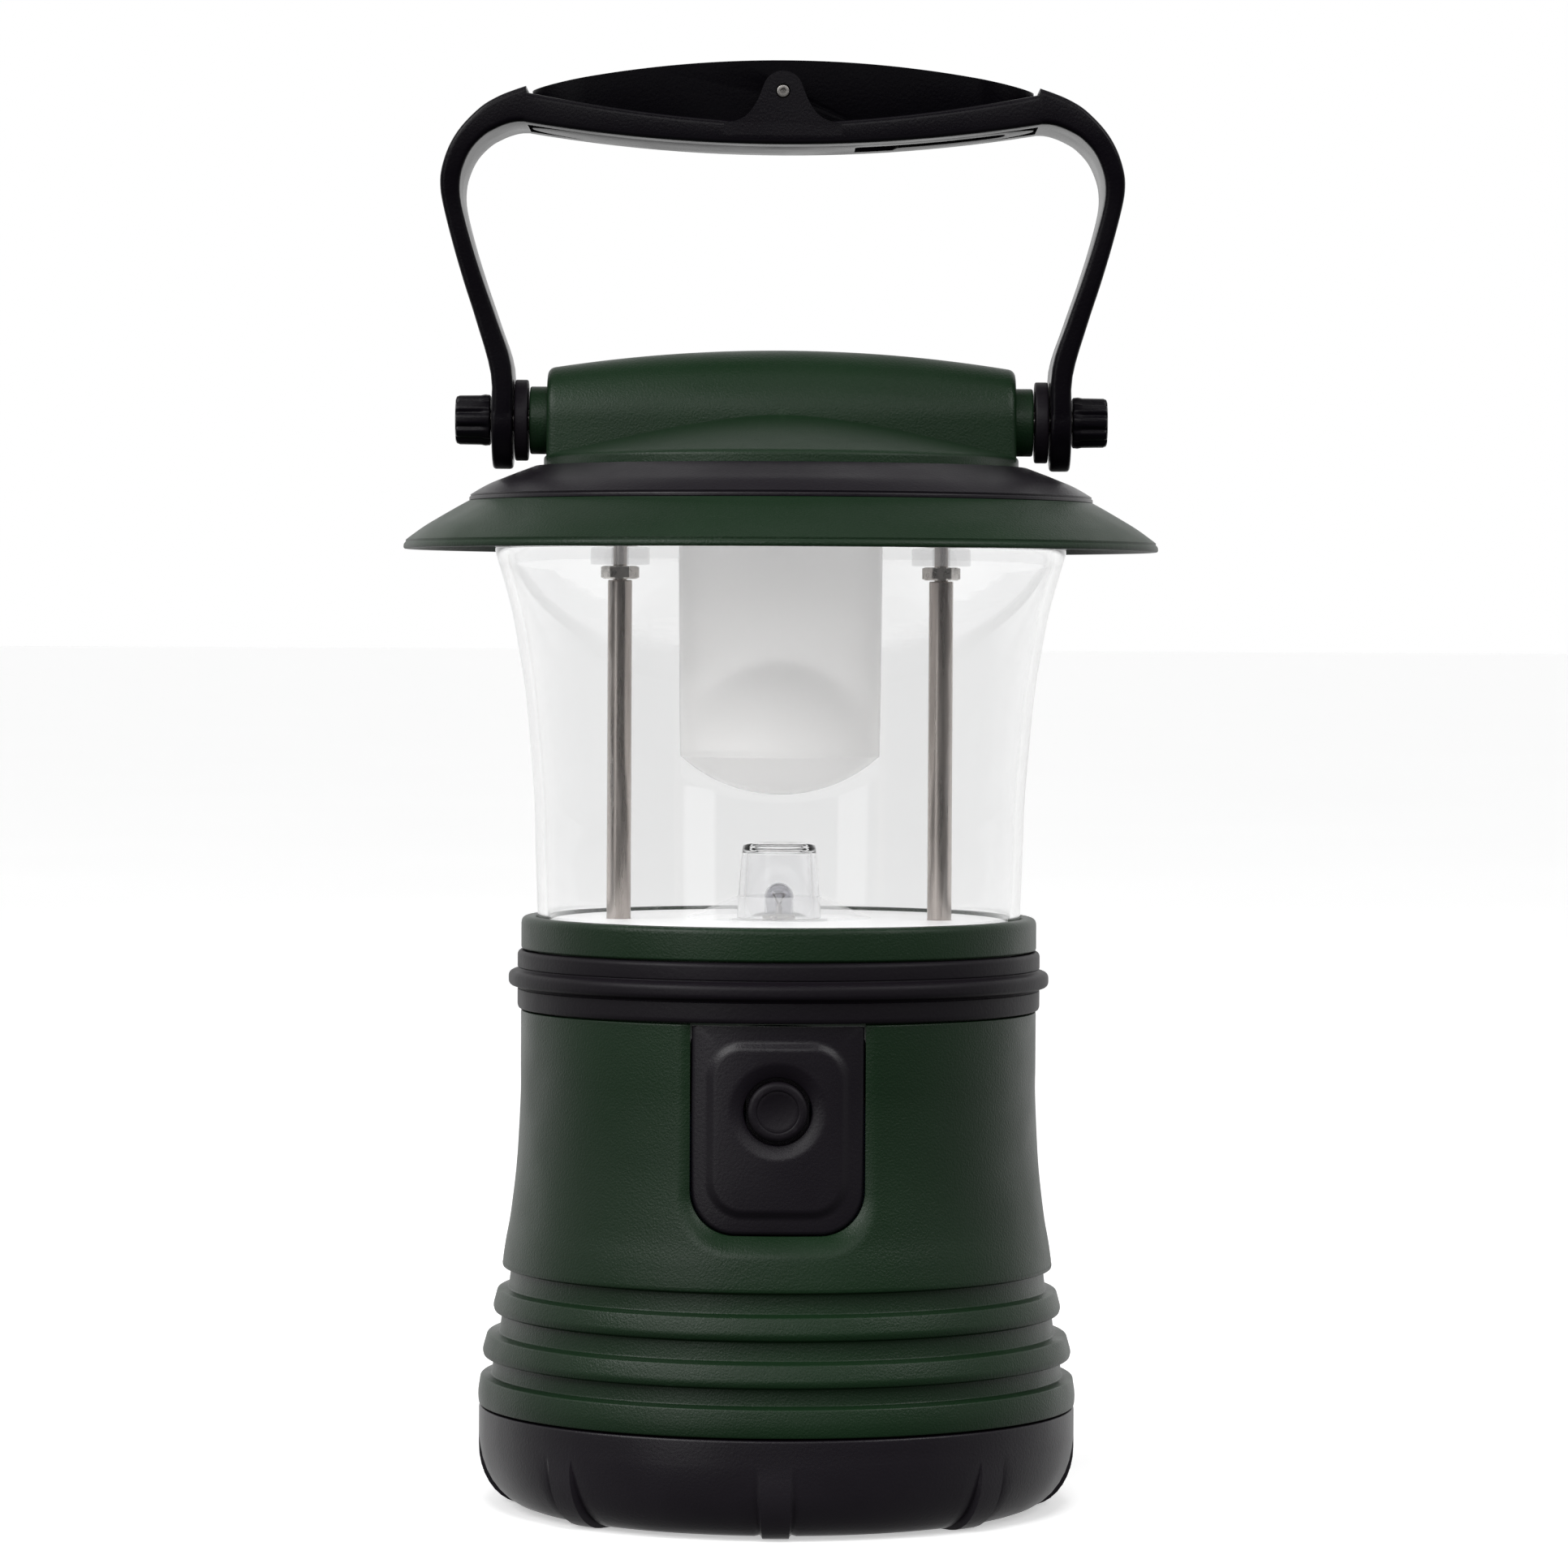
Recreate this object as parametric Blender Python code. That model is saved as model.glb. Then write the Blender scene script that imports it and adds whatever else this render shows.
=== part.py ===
"""Camping lantern: battery base, clear globe, hood and swinging bail with a hang hook.

All dimensions are in millimetres and are scaled to metres when a mesh is made.
The lantern stands on z = 0, its axis is Z and its switch faces -Y.
"""
import math

import bmesh
import bpy
from mathutils import Matrix, Vector

MM = 0.001
GAP = 0.3

# Facets on a full turn.
BIG = 24
MEDIUM = 16
SMALL = 12

# Base cap, its screw spigot and feet.
SEAM_Z = 18.1
CAP_R = 53.8
CAP_FLOOR_Z = 1.0
CAP_FLOOR_TOP = 3.2
SPIGOT_R = 46.8
SPIGOT_INNER_R = 44.9
SPIGOT_TOP = 24.5
FOOT_COUNT = 8
FOOT_WIDTH = 5.3

# Housing.
HOUSING_TOP = 100.5
HOUSING_R = 46.5
BAND_BOTTOM = 89.4
BAND_SEAT_R = 44.8
BORE_R = 44.3
DECK_Z = 84.0
DECK_T = 2.0

# Switch.
PANEL_WIDTH = 30.1
PANEL_BOTTOM = 52.9
PANEL_CORNER = 7.6
PANEL_R = 47.2
PANEL_T = 2.4
BUTTON_Z = 74.4
BUTTON_R = 5.3
BUTTON_HOLE_R = 6.3

# Cells.
CELL_R = 17.1
CELL_OFFSET = 18.0
CELL_BODY = 60.0
CELL_LENGTH = 61.5
CELL_BOTTOM = 13.0
CELL_TOP = CELL_BOTTOM + CELL_LENGTH
WEB_T = 1.2

# Lamp chamber.
COLLAR_TOP = 106.3
PLATE_TOP = 105.8
PLATE_R = 41.3
GLOBE_WALL = 1.9
ROD_X = 29.0
ROD_R = 2.2
ROD_TOP = 167.0
STUD_R = 1.25
NUT_R = 3.45
CEILING_Z = 171.5

# Hood and pivot.
BRIM_R = 68.0
BRIM_BOTTOM = 172.3
RING_Z = 181.0
SADDLE_Z = 187.6
SADDLE_R = 42.8
PIVOT_Z = 195.6
BARREL_HALF = 42.1
BARREL_MID_R = 12.8
BARREL_END_R = 9.4
TRUNNION_R = 6.1
TRUNNION_END = 45.3
SCREW_R = 1.9
EYE_IN = 48.3
EYE_OUT = 52.0
EYE_R = 8.8
KNOB_OUT = 58.7

# Bail and hook, heights above the pivot axis.
GRIP_DEPTH = 28.0
RAIL_T = 5.7
SLOT_END = 45.7
HOOK_HALF = 44.8
HOOK_WIDTH = 16.0
PIN_H = 58.35
PIN_R = 1.15


# ---------------------------------------------------------------- helpers

def clear_scene():
    for item in list(bpy.data.objects):
        bpy.data.objects.remove(item, do_unlink=True)


def make_material(name, colour, roughness, metallic=0.0, alpha=1.0):
    material = bpy.data.materials.new(name)
    material.use_nodes = True
    shader = material.node_tree.nodes["Principled BSDF"]
    shader.inputs["Base Color"].default_value = (*colour, 1.0)
    shader.inputs["Roughness"].default_value = roughness
    shader.inputs["Metallic"].default_value = metallic
    shader.inputs["Alpha"].default_value = alpha
    return material


def new_object(name, mesh, material):
    mesh.materials.append(material)
    item = bpy.data.objects.new(name, mesh)
    bpy.context.scene.collection.objects.link(item)
    return item


def finish_mesh(name, bm, material):
    """Close, orient and scale a bmesh drawn in millimetres."""
    bmesh.ops.remove_doubles(bm, verts=bm.verts, dist=1e-4)
    bmesh.ops.recalc_face_normals(bm, faces=bm.faces)
    bmesh.ops.scale(bm, vec=(MM, MM, MM), verts=bm.verts)
    mesh = bpy.data.meshes.new(name)
    bm.to_mesh(mesh)
    bm.free()
    return new_object(name, mesh, material)


def turn_profile(bm, profile, segments, centre=(0.0, 0.0), phase=0.0):
    """Revolve a closed (radius, z) outline about a vertical axis."""
    columns = []
    for step in range(segments):
        angle = 2.0 * math.pi * (step + phase) / segments
        column = []
        for radius, z in profile:
            x = centre[0] + radius * math.cos(angle)
            y = centre[1] + radius * math.sin(angle)
            column.append(bm.verts.new((x, y, z)))
        columns.append(column)
    count = len(profile)
    for step in range(segments):
        here = columns[step]
        after = columns[(step + 1) % segments]
        for index in range(count):
            following = (index + 1) % count
            on_axis = profile[index][0] < 1e-6 and profile[following][0] < 1e-6
            if on_axis:
                continue
            corners = [here[index], here[following]]
            if profile[following][0] > 1e-6:
                corners.append(after[following])
            if profile[index][0] > 1e-6:
                corners.append(after[index])
            bm.faces.new(corners)


def lathe(name, profile, material, segments=BIG, centre=(0.0, 0.0), phase=0.0):
    bm = bmesh.new()
    turn_profile(bm, profile, segments, centre, phase)
    return finish_mesh(name, bm, material)


def lathe_along(name, profile, material, origin, axis, segments=SMALL):
    """Revolve a (radius, distance) outline, then point its axis along a vector."""
    bm = bmesh.new()
    turn_profile(bm, profile, segments)
    turn = Vector(axis).to_track_quat("Z", "Y").to_matrix().to_4x4()
    place = Matrix.Translation(Vector(origin)) @ turn
    bmesh.ops.transform(bm, matrix=place, verts=bm.verts)
    return finish_mesh(name, bm, material)


def prism(name, outline, low, high, material, plane="XZ"):
    """Extrude a closed outline; XZ runs along Y and XY runs along Z."""
    bm = bmesh.new()
    rings = []
    for depth in (low, high):
        ring = []
        for a, b in outline:
            point = (a, depth, b) if plane == "XZ" else (a, b, depth)
            ring.append(bm.verts.new(point))
        rings.append(ring)
    count = len(outline)
    for index in range(count):
        after = (index + 1) % count
        bm.faces.new((rings[0][index], rings[0][after], rings[1][after], rings[1][index]))
    bm.faces.new(rings[0])
    bm.faces.new(rings[1])
    return finish_mesh(name, bm, material)


def box(name, low, high, material):
    outline = [(low[0], low[1]), (high[0], low[1]), (high[0], high[1]), (low[0], high[1])]
    return prism(name, outline, low[2], high[2], material, plane="XY")


def loft(name, sections, material):
    """Skin a run of equal-length point rings and cap both ends."""
    bm = bmesh.new()
    rings = [[bm.verts.new(point) for point in section] for section in sections]
    count = len(sections[0])
    for ring, following in zip(rings, rings[1:]):
        for index in range(count):
            after = (index + 1) % count
            bm.faces.new((ring[index], ring[after], following[after], following[index]))
    bm.faces.new(rings[0])
    bm.faces.new(rings[-1])
    return finish_mesh(name, bm, material)


def combine(item, other, operation):
    """Add a Boolean modifier and hide the piece that it uses."""
    modifier = item.modifiers.new(operation.title() + "_" + other.name, "BOOLEAN")
    modifier.operation = operation
    modifier.solver = "EXACT"
    modifier.object = other
    other.hide_render = True
    other.display_type = "WIRE"


def cut(item, other):
    combine(item, other, "DIFFERENCE")


def join(item, other):
    combine(item, other, "UNION")


def arc(cx, cz, radius, start, end, steps):
    points = []
    for step in range(steps + 1):
        angle = math.radians(start + (end - start) * step / steps)
        points.append((cx + radius * math.cos(angle), cz + radius * math.sin(angle)))
    return points


def hexagon(name, radius, low, high, hole, centre, material):
    """A hex nut with a round bore, its flats facing the front."""
    nut = lathe(name, [(hole, low), (radius, low), (radius, high), (hole, high)],
                material, 6, centre)
    return nut


def shift_origin(item, origin):
    """Put an object's origin on its joint without moving its mesh."""
    offset = Vector(origin) * MM
    item.data.transform(Matrix.Translation(-offset))
    item.location = offset


# ---------------------------------------------------------------- base cap

def build_base_cap(plastic):
    profile = [
        (0.0, CAP_FLOOR_Z), (42.6, CAP_FLOOR_Z), (44.4, 0.4), (46.8, 0.8), (49.1, 2.0),
        (51.0, 4.0), (52.5, 6.5), (53.5, 9.6), (CAP_R, 12.8), (CAP_R, SEAM_Z), (50.4, SEAM_Z),
        (50.4, SEAM_Z - 1.1), (48.2, SEAM_Z - 1.1), (48.2, SEAM_Z), (SPIGOT_R, SEAM_Z + 0.2),
        (SPIGOT_R, SPIGOT_TOP), (SPIGOT_INNER_R, SPIGOT_TOP), (SPIGOT_INNER_R, 13.6),
        (50.0, 10.4), (47.0, 5.2), (44.0, CAP_FLOOR_TOP), (2.6, CAP_FLOOR_TOP),
        (2.6, 7.2), (0.0, 7.2),
    ]
    cap = lathe("base_cap", profile, plastic)
    foot_side = [
        (42.0, 0.0), (47.2, 0.0), (50.2, 1.9), (52.7, 5.5), (53.7, 10.6),
        (52.0, 12.4), (45.0, 2.6), (42.0, 1.6),
    ]
    for index in range(FOOT_COUNT):
        foot = prism("foot_%d" % index, foot_side, -FOOT_WIDTH / 2, FOOT_WIDTH / 2, plastic)
        foot.rotation_euler.z = math.radians(-90.0 + index * 360.0 / FOOT_COUNT)
        join(cap, foot)
    return cap


def build_cap_seal(rubber):
    low = SEAM_Z - 0.8
    profile = [(48.5, low), (50.1, low), (50.1, low + 0.7), (49.3, low + 0.9), (48.5, low + 0.7)]
    return lathe("cap_seal", profile, rubber)


def build_contact_disc(board):
    profile = [(3.0, 3.5), (40.0, 3.5), (40.0, 5.3), (3.0, 5.3)]
    return lathe("contact_disc", profile, board, MEDIUM)


def build_disc_clip(steel):
    profile = [(2.9, 5.6), (5.2, 5.6), (4.6, 6.3), (2.9, 6.3)]
    return lathe("disc_clip", profile, steel, SMALL)


def build_lower_strip(name, side, brass):
    x = side * CELL_OFFSET
    return box(name, (x - 7.5, -24.5, 5.6), (x + 7.5, 24.5, 6.0), brass)


def build_spring(name, x, y, steel):
    """Conical coil that presses on one cell."""
    turns = 3
    steps = 8
    sides = 4
    wire = 0.45
    low = 6.75
    high = CELL_BOTTOM - GAP - wire
    bm = bmesh.new()
    rings = []
    total = turns * steps
    for step in range(total + 1):
        share = step / total
        angle = 2.0 * math.pi * turns * share
        radius = 6.5 - 2.5 * share
        z = low + (high - low) * share
        outward = Vector((math.cos(angle), math.sin(angle), 0.0))
        middle = Vector((x, y, z)) + outward * radius
        ring = []
        for side in range(sides):
            turn = 2.0 * math.pi * side / sides
            offset = outward * math.cos(turn) * wire + Vector((0, 0, math.sin(turn) * wire))
            ring.append(bm.verts.new(middle + offset))
        rings.append(ring)
    for ring, following in zip(rings, rings[1:]):
        for side in range(sides):
            after = (side + 1) % sides
            bm.faces.new((ring[side], ring[after], following[after], following[side]))
    bm.faces.new(rings[0])
    bm.faces.new(rings[-1])
    return finish_mesh(name, bm, steel)


# ---------------------------------------------------------------- housing

def tongue(half, bottom, top, corner):
    """Panel outline with a round-cornered bottom edge."""
    left = arc(-half + corner, bottom + corner, corner, 180, 270, 4)
    right = arc(half - corner, bottom + corner, corner, 270, 360, 4)
    return left + right + [(half, top), (-half, top)]


def build_housing(plastic):
    housing_bottom = SEAM_Z + GAP
    outer = [
        (53.8, housing_bottom), (54.0, 20.4), (53.5, 23.3), (51.5, 23.7), (51.2, 26.6),
        (52.9, 27.0), (53.2, 28.0), (52.3, 30.9), (50.1, 31.3), (49.7, 34.6),
        (50.9, 35.0), (51.3, 36.0), (50.4, 38.9), (48.5, 39.3), (48.1, 42.7),
        (49.6, 43.1), (49.4, 45.0), (48.3, 52.0), (47.2, 60.5), (46.6, 68.5),
        (HOUSING_R, 76.0), (HOUSING_R, BAND_BOTTOM),
        (BAND_SEAT_R, BAND_BOTTOM), (BAND_SEAT_R, HOUSING_TOP),
    ]
    inner = [
        (42.8, HOUSING_TOP), (42.8, DECK_Z + DECK_T), (9.0, DECK_Z + DECK_T),
        (9.0, DECK_Z), (BORE_R, DECK_Z), (BORE_R, 44.0), (45.2, 30.0), (45.2, 26.0),
        (47.6, 25.2), (47.6, housing_bottom),
    ]
    housing = lathe("housing", outer + inner, plastic)
    half = PANEL_WIDTH / 2 + GAP
    top = BAND_BOTTOM + GAP
    window = tongue(half, PANEL_BOTTOM - GAP, top, PANEL_CORNER + GAP)
    cutter = prism("panel_window", window, -60.0, -30.0, plastic)
    cut(housing, cutter)
    return housing


def build_switch_panel(plastic):
    """A slice of tube behind the tongue outline, with a countersunk button hole."""
    tube = [
        (PANEL_R - PANEL_T, PANEL_BOTTOM - 1), (PANEL_R, PANEL_BOTTOM - 1),
        (PANEL_R, BAND_BOTTOM - GAP), (PANEL_R - PANEL_T, BAND_BOTTOM - GAP),
    ]
    panel = lathe("switch_panel", tube, plastic, 2 * BIG)
    outline = tongue(PANEL_WIDTH / 2, PANEL_BOTTOM, BAND_BOTTOM + 2, PANEL_CORNER)
    slab = prism("panel_outline", outline, -60.0, -30.0, plastic)
    combine(panel, slab, "INTERSECT")
    hole = [(0, 0), (8.8, 0), (8.4, 1.2), (BUTTON_HOLE_R, 2.4), (BUTTON_HOLE_R, 9), (0, 9)]
    drill = lathe_along("button_hole", hole, plastic, (0, -48.2, BUTTON_Z), (0, 1, 0), MEDIUM)
    cut(panel, drill)
    return panel


def build_switch_button(rubber):
    profile = [
        (0, 0.5), (3.4, 0.2), (3.9, 0.0), (4.8, 0.0), (BUTTON_R, 0.5), (BUTTON_R, 2.6), (0, 2.6),
    ]
    button = lathe_along("switch_button", profile, rubber, (0, -47.0, BUTTON_Z), (0, 1, 0), MEDIUM)
    shift_origin(button, (0, -47.0, BUTTON_Z))
    return button


def build_switch_body(plastic):
    return box("switch_body", (-5.5, -42.4, 68.0), (5.5, -31.5, 81.0), plastic)


# ---------------------------------------------------------------- cells

def build_cell(number, x, y, upright, wrap):
    step = CELL_LENGTH - CELL_BODY
    low = CELL_BOTTOM
    if upright:
        profile = [
            (0, low), (CELL_R, low), (CELL_R, low + CELL_BODY),
            (4.7, low + CELL_BODY), (4.7, CELL_TOP), (0, CELL_TOP),
        ]
    else:
        profile = [
            (0, low), (4.7, low), (4.7, low + step), (CELL_R, low + step),
            (CELL_R, CELL_TOP), (0, CELL_TOP),
        ]
    return lathe("battery_%d" % number, profile, wrap, MEDIUM, (x, y))


def build_cell_divider(plastic):
    """Cross-shaped web between the cells; the front arm stops behind the switch."""
    half = WEB_T / 2
    reach = 43.4
    front = 29.0
    outline = [
        (reach, -half), (reach, half), (half, half), (half, reach), (-half, reach),
        (-half, half), (-reach, half), (-reach, -half), (-half, -half),
        (-half, -front), (half, -front), (half, -half),
    ]
    return prism("cell_divider", outline, 26.0, 83.6, plastic, plane="XY")


def build_upper_bridge(brass):
    """Strip that joins the two rear cells in series."""
    z = CELL_TOP + GAP
    return box("upper_bridge", (-24.0, 10.0, z), (-WEB_T, 24.0, z + 0.5), brass)


def build_terminal(name, x, y, brass):
    """Spring tab over one cell, folded up towards the lamp."""
    z = CELL_TOP + GAP
    outline = [
        (x - 7.0, z), (x + 7.0, z), (x + 7.0, z + 0.5), (x - 6.4, z + 0.5),
        (x - 6.4, DECK_Z - GAP), (x - 7.0, DECK_Z - GAP),
    ]
    return prism(name, outline, y - 5.0, y + 5.0, brass)


# ---------------------------------------------------------------- lamp chamber

def build_bumper_band(rubber):
    profile = [
        (45.1, BAND_BOTTOM + GAP), (47.1, BAND_BOTTOM + GAP), (47.1, 93.4), (48.1, 94.0),
        (48.7, 95.2), (48.1, 96.4), (47.1, 97.0), (47.1, HOUSING_TOP - GAP),
        (45.1, HOUSING_TOP - GAP),
    ]
    return lathe("bumper_band", profile, rubber)


def build_neck_collar(plastic):
    profile = [
        (36.0, HOUSING_TOP + GAP), (HOUSING_R, HOUSING_TOP + GAP), (HOUSING_R, 105.0), (46.0, 106.0),
        (45.0, COLLAR_TOP), (43.9, COLLAR_TOP), (43.9, 102.2), (36.0, 102.2),
    ]
    return lathe("neck_collar", profile, plastic)


def build_reflector_plate(silver):
    profile = [
        (9.2, 104.6), (38.0, 104.6), (38.0, 102.5), (PLATE_R, 102.5),
        (PLATE_R, PLATE_TOP), (9.2, PLATE_TOP),
    ]
    plate = lathe("reflector_plate", profile, silver)
    for side in (-1, 1):
        hole = lathe("rod_hole_%d" % side, [(0, 100), (2.55, 100), (2.55, 108), (0, 108)],
                     silver, SMALL, (side * ROD_X, 0), 0.5)
        cut(plate, hole)
    return plate


def build_globe(clear):
    outer = [
        (43.6, 102.5), (43.6, 106.6), (44.3, 127.1), (45.2, 138.4), (47.2, 154.3),
        (48.6, 161.8), (50.9, 170.3), (54.6, 171.5), (54.6, 172.8),
    ]
    inner = [(49.0, 172.8)]
    for radius, z in reversed(outer[:-3]):
        inner.append((radius - GLOBE_WALL, z))
    return lathe("globe", outer + inner, clear)


def build_bulb_guard(clear):
    """Clear cup over the bulb with a sloping skirt."""
    profile = [
        (7.5, 106.1), (7.4, 109.0), (16.0, 106.1), (16.8, 106.1), (7.3, 110.0),
        (6.6, 116.5), (6.1, 119.2), (5.2, 119.8), (0, 119.3), (0, 118.3),
        (5.0, 118.7), (5.6, 116.0), (6.4, 106.1),
    ]
    return lathe("bulb_guard", profile, clear, MEDIUM)


def build_bulb_socket(plastic):
    profile = [
        (4.8, 88.0), (8.7, 88.0), (8.7, 103.4), (8.8, 105.8), (5.2, 105.8),
        (5.2, 103.0), (4.8, 103.0),
    ]
    return lathe("bulb_socket", profile, plastic, MEDIUM)


def build_bulb_base(brass):
    profile = [
        (0, 89.0), (1.6, 89.0), (2.2, 90.5), (4.5, 92.0), (4.5, 103.4),
        (4.9, 103.4), (4.9, 104.4), (3.0, 105.2), (3.0, 106.6), (0, 106.6),
    ]
    return lathe("bulb_base", profile, brass, SMALL)


def build_bulb_envelope(clear):
    dome = arc(0, 109.75, 2.65, 0, 90, 4)
    inside = arc(0, 109.75, 2.25, 90, 0, 4)
    profile = [(2.65, 106.9)] + dome + inside + [(2.25, 106.9)]
    return lathe("bulb_envelope", profile, clear, SMALL)


def build_bulb_filament(steel):
    """Stem, two support wires and the coil between them, as one piece."""
    stem = lathe("bulb_filament", [(0, 106.9), (0.7, 106.9), (0.5, 108.2), (0, 108.2)], steel, 8)
    wire = [(0, 0), (0.16, 0), (0.16, 2.4), (0, 2.4)]
    for side in (-1, 1):
        lean = (side * 0.42, 0, 1)
        post = lathe_along("filament_post_%d" % side, wire, steel, (0, 0, 107.9), lean, 6)
        join(stem, post)
    coil = [(0, 0), (0.2, 0), (0.2, 1.9), (0, 1.9)]
    bar = lathe_along("filament_coil", coil, steel, (-0.95, 0, 110.0), (1, 0, 0), 6)
    join(stem, bar)
    return stem


def build_rod(name, side, nickel):
    profile = [
        (0, 99.2), (STUD_R, 99.2), (STUD_R, 104.3), (ROD_R, 104.3), (ROD_R, ROD_TOP),
        (STUD_R, ROD_TOP), (STUD_R, 171.2), (0, 171.2),
    ]
    return lathe(name, profile, nickel, SMALL, (side * ROD_X, 0))


def build_rod_nut(name, side, low, steel):
    centre = (side * ROD_X, 0)
    return hexagon(name, NUT_R, low, low + 2.6, STUD_R + GAP, centre, steel)


def build_hood_liner(silver):
    """Bright ceiling plate with a rim that stands up inside the brim, and the rod bosses."""
    profile = [
        (0, 173.2), (55.2, 173.2), (55.4, 173.4), (55.4, 178.4), (54.4, 178.4), (54.4, 174.2),
        (0, 174.2),
    ]
    liner = lathe("hood_liner", profile, silver)
    for side in (-1, 1):
        boss = [(1.6, 170.2), (5.35, 170.2), (5.35, 173.7), (1.6, 173.7)]
        name = "rod_boss_%d" % side
        join(liner, lathe(name, boss, silver, SMALL, (side * ROD_X, 0), 0.5))
    return liner


def build_diffuser(frosted):
    """Frosted tube with a spherical end, open at the top."""
    end = 128.3
    ball = 26.7
    outside = []
    inside = []
    for step in range(5):
        radius = 18.0 * step / 4
        sag = math.sqrt(ball * ball - radius * radius)
        outside.append((radius, end + ball - sag))
        inside.append((radius * 0.933, end + 1.2 + ball - sag))
    profile = outside + [(18.4, 172.6), (17.2, 172.6)] + inside[::-1]
    return lathe("diffuser", profile, frosted, MEDIUM)


def build_diffuser_dome(white):
    """Curved reflector inside the diffuser that throws the light outwards."""
    outside = []
    inside = []
    for step in range(5):
        share = step / 4
        radius = 16.3 * share
        z = 136.2 + 16.2 * math.sqrt(max(0.0, 1.0 - share * share))
        outside.append((radius, z))
        inside.append((radius * 0.94, 136.2 + (z - 136.2) * 0.94))
    inside[-1] = (15.3, 136.2)
    return lathe("diffuser_dome", inside + outside[::-1], white, MEDIUM)


# ---------------------------------------------------------------- hood

def build_hood_brim(plastic):
    profile = [
        (44.0, 180.7), (56.3, 180.7), (58.3, 179.8), (62.8, 177.2), (66.7, 174.6),
        (67.9, 173.6), (BRIM_R, BRIM_BOTTOM), (66.8, BRIM_BOTTOM), (66.2, 173.2),
        (61.9, 176.2), (58.0, 178.3), (55.5, 178.9), (44.0, 178.9),
    ]
    return lathe("hood_brim", profile, plastic)


def build_hood_ring(plastic):
    profile = [
        (43.2, 181.0), (56.2, 181.0), (56.2, 181.9), (54.2, 183.4), (50.1, 185.2),
        (44.5, 187.3), (43.2, 187.3),
    ]
    return lathe("hood_ring", profile, plastic)


def barrel_section(x, radius, foot):
    """Half-round top over straight walls, as points in the plane at x."""
    section = [(x, -radius, foot)]
    for step in range(11):
        angle = math.pi * (1.0 - step / 10)
        section.append((x, radius * math.cos(angle), PIVOT_Z + radius * math.sin(angle)))
    section.append((x, radius, foot))
    return section


def barrel(name, half, shrink, foot, material):
    sections = []
    for step in range(8):
        x = half * (step / 3.5 - 1)
        fall = (BARREL_MID_R - BARREL_END_R) * (x / BARREL_HALF) ** 2
        sections.append(barrel_section(x, BARREL_MID_R - fall - shrink, foot))
    return loft(name, sections, material)


def build_hood_saddle(plastic):
    profile = [
        (0, 199.3), (12.8, 196.4), (41.8, 189.4), (SADDLE_R, 188.8), (SADDLE_R, 184.0),
        (41.0, 184.0), (41.0, 187.4), (12.8, 194.4), (0, 196.8),
    ]
    saddle = lathe("hood_saddle", profile, plastic)
    join(saddle, barrel("barrel", BARREL_HALF, 0.0, 188.2, plastic))
    cut(saddle, barrel("barrel_hollow", 37.6, 2.0, 182.0, plastic))
    for side in (-1, 1):
        stub = [(0, 38.5), (TRUNNION_R, 38.5), (TRUNNION_R, TRUNNION_END), (0, TRUNNION_END)]
        name = "trunnion_%d" % side
        join(saddle, lathe_along(name, stub, plastic, (0, 0, PIVOT_Z), (side, 0, 0), MEDIUM))
        bore = [(0, 36.0), (SCREW_R + GAP, 36.0), (SCREW_R + GAP, 47.0), (0, 47.0)]
        name = "pivot_bore_%d" % side
        cut(saddle, lathe_along(name, bore, plastic, (0, 0, PIVOT_Z), (side, 0, 0)))
    return saddle


def build_hood_core(plastic):
    """Hidden spacer that ties the saddle, the ring and the brim to the liner."""
    profile = [
        (36.0, 174.5), (43.7, 174.5), (43.7, 180.4), (42.9, 180.4), (42.9, 183.7),
        (40.7, 183.7), (40.7, 186.2), (39.5, 186.2), (39.5, 176.5), (36.0, 176.5),
    ]
    return lathe("hood_core", profile, plastic)


def build_pivot_screw(name, side, steel):
    profile = [
        (0, 34.2), (3.6, 34.2), (3.6, 37.3), (SCREW_R, 37.3), (SCREW_R, 57.0), (0, 57.0),
    ]
    return lathe_along(name, profile, steel, (0, 0, PIVOT_Z), (side, 0, 0))


def build_friction_washer(name, side, rubber):
    profile = [(2.3, 45.6), (7.3, 45.6), (7.3, 48.0), (2.3, 48.0)]
    return lathe_along(name, profile, rubber, (0, 0, PIVOT_Z), (side, 0, 0), MEDIUM)


def build_knob(name, side, plastic):
    """Fluted knob, bored from the inside for the pivot screw."""
    flutes = 8
    steps = flutes * 4
    bm = bmesh.new()
    bands = ((52.4, 4.7), (54.2, 4.5), (58.4, 4.5), (KNOB_OUT, 4.1))
    bore = SCREW_R + GAP
    rings = []
    for x, radius in bands:
        ring = []
        for step in range(steps):
            angle = 2.0 * math.pi * step / steps
            depth = 0.45 if step % 4 == 0 else 0.0
            reach = radius - depth
            ring.append(bm.verts.new((x, reach * math.cos(angle), reach * math.sin(angle))))
        rings.append(ring)
    for x in (57.3, 52.4):
        ring = []
        for step in range(steps):
            angle = 2.0 * math.pi * step / steps
            ring.append(bm.verts.new((x, bore * math.cos(angle), bore * math.sin(angle))))
        rings.append(ring)
    pairs = [(0, 1), (1, 2), (2, 3), (4, 5), (5, 0)]
    for first, second in pairs:
        for step in range(steps):
            after = (step + 1) % steps
            a, b = rings[first], rings[second]
            bm.faces.new((a[step], a[after], b[after], b[step]))
    bm.faces.new(rings[3])
    bm.faces.new(rings[4])
    if side < 0:
        bmesh.ops.rotate(bm, cent=(0, 0, 0), matrix=Matrix.Rotation(math.pi, 3, "Z"), verts=bm.verts)
    bmesh.ops.translate(bm, vec=(0, 0, PIVOT_Z), verts=bm.verts)
    knob = finish_mesh(name, bm, plastic)
    shift_origin(knob, (0, 0, PIVOT_Z))
    return knob


# ---------------------------------------------------------------- bail

def grip_top(x):
    """Height of the grip rails, lowest in the middle."""
    return 52.8 + 4.9 * (abs(x) / 44.5) ** 1.7


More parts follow.
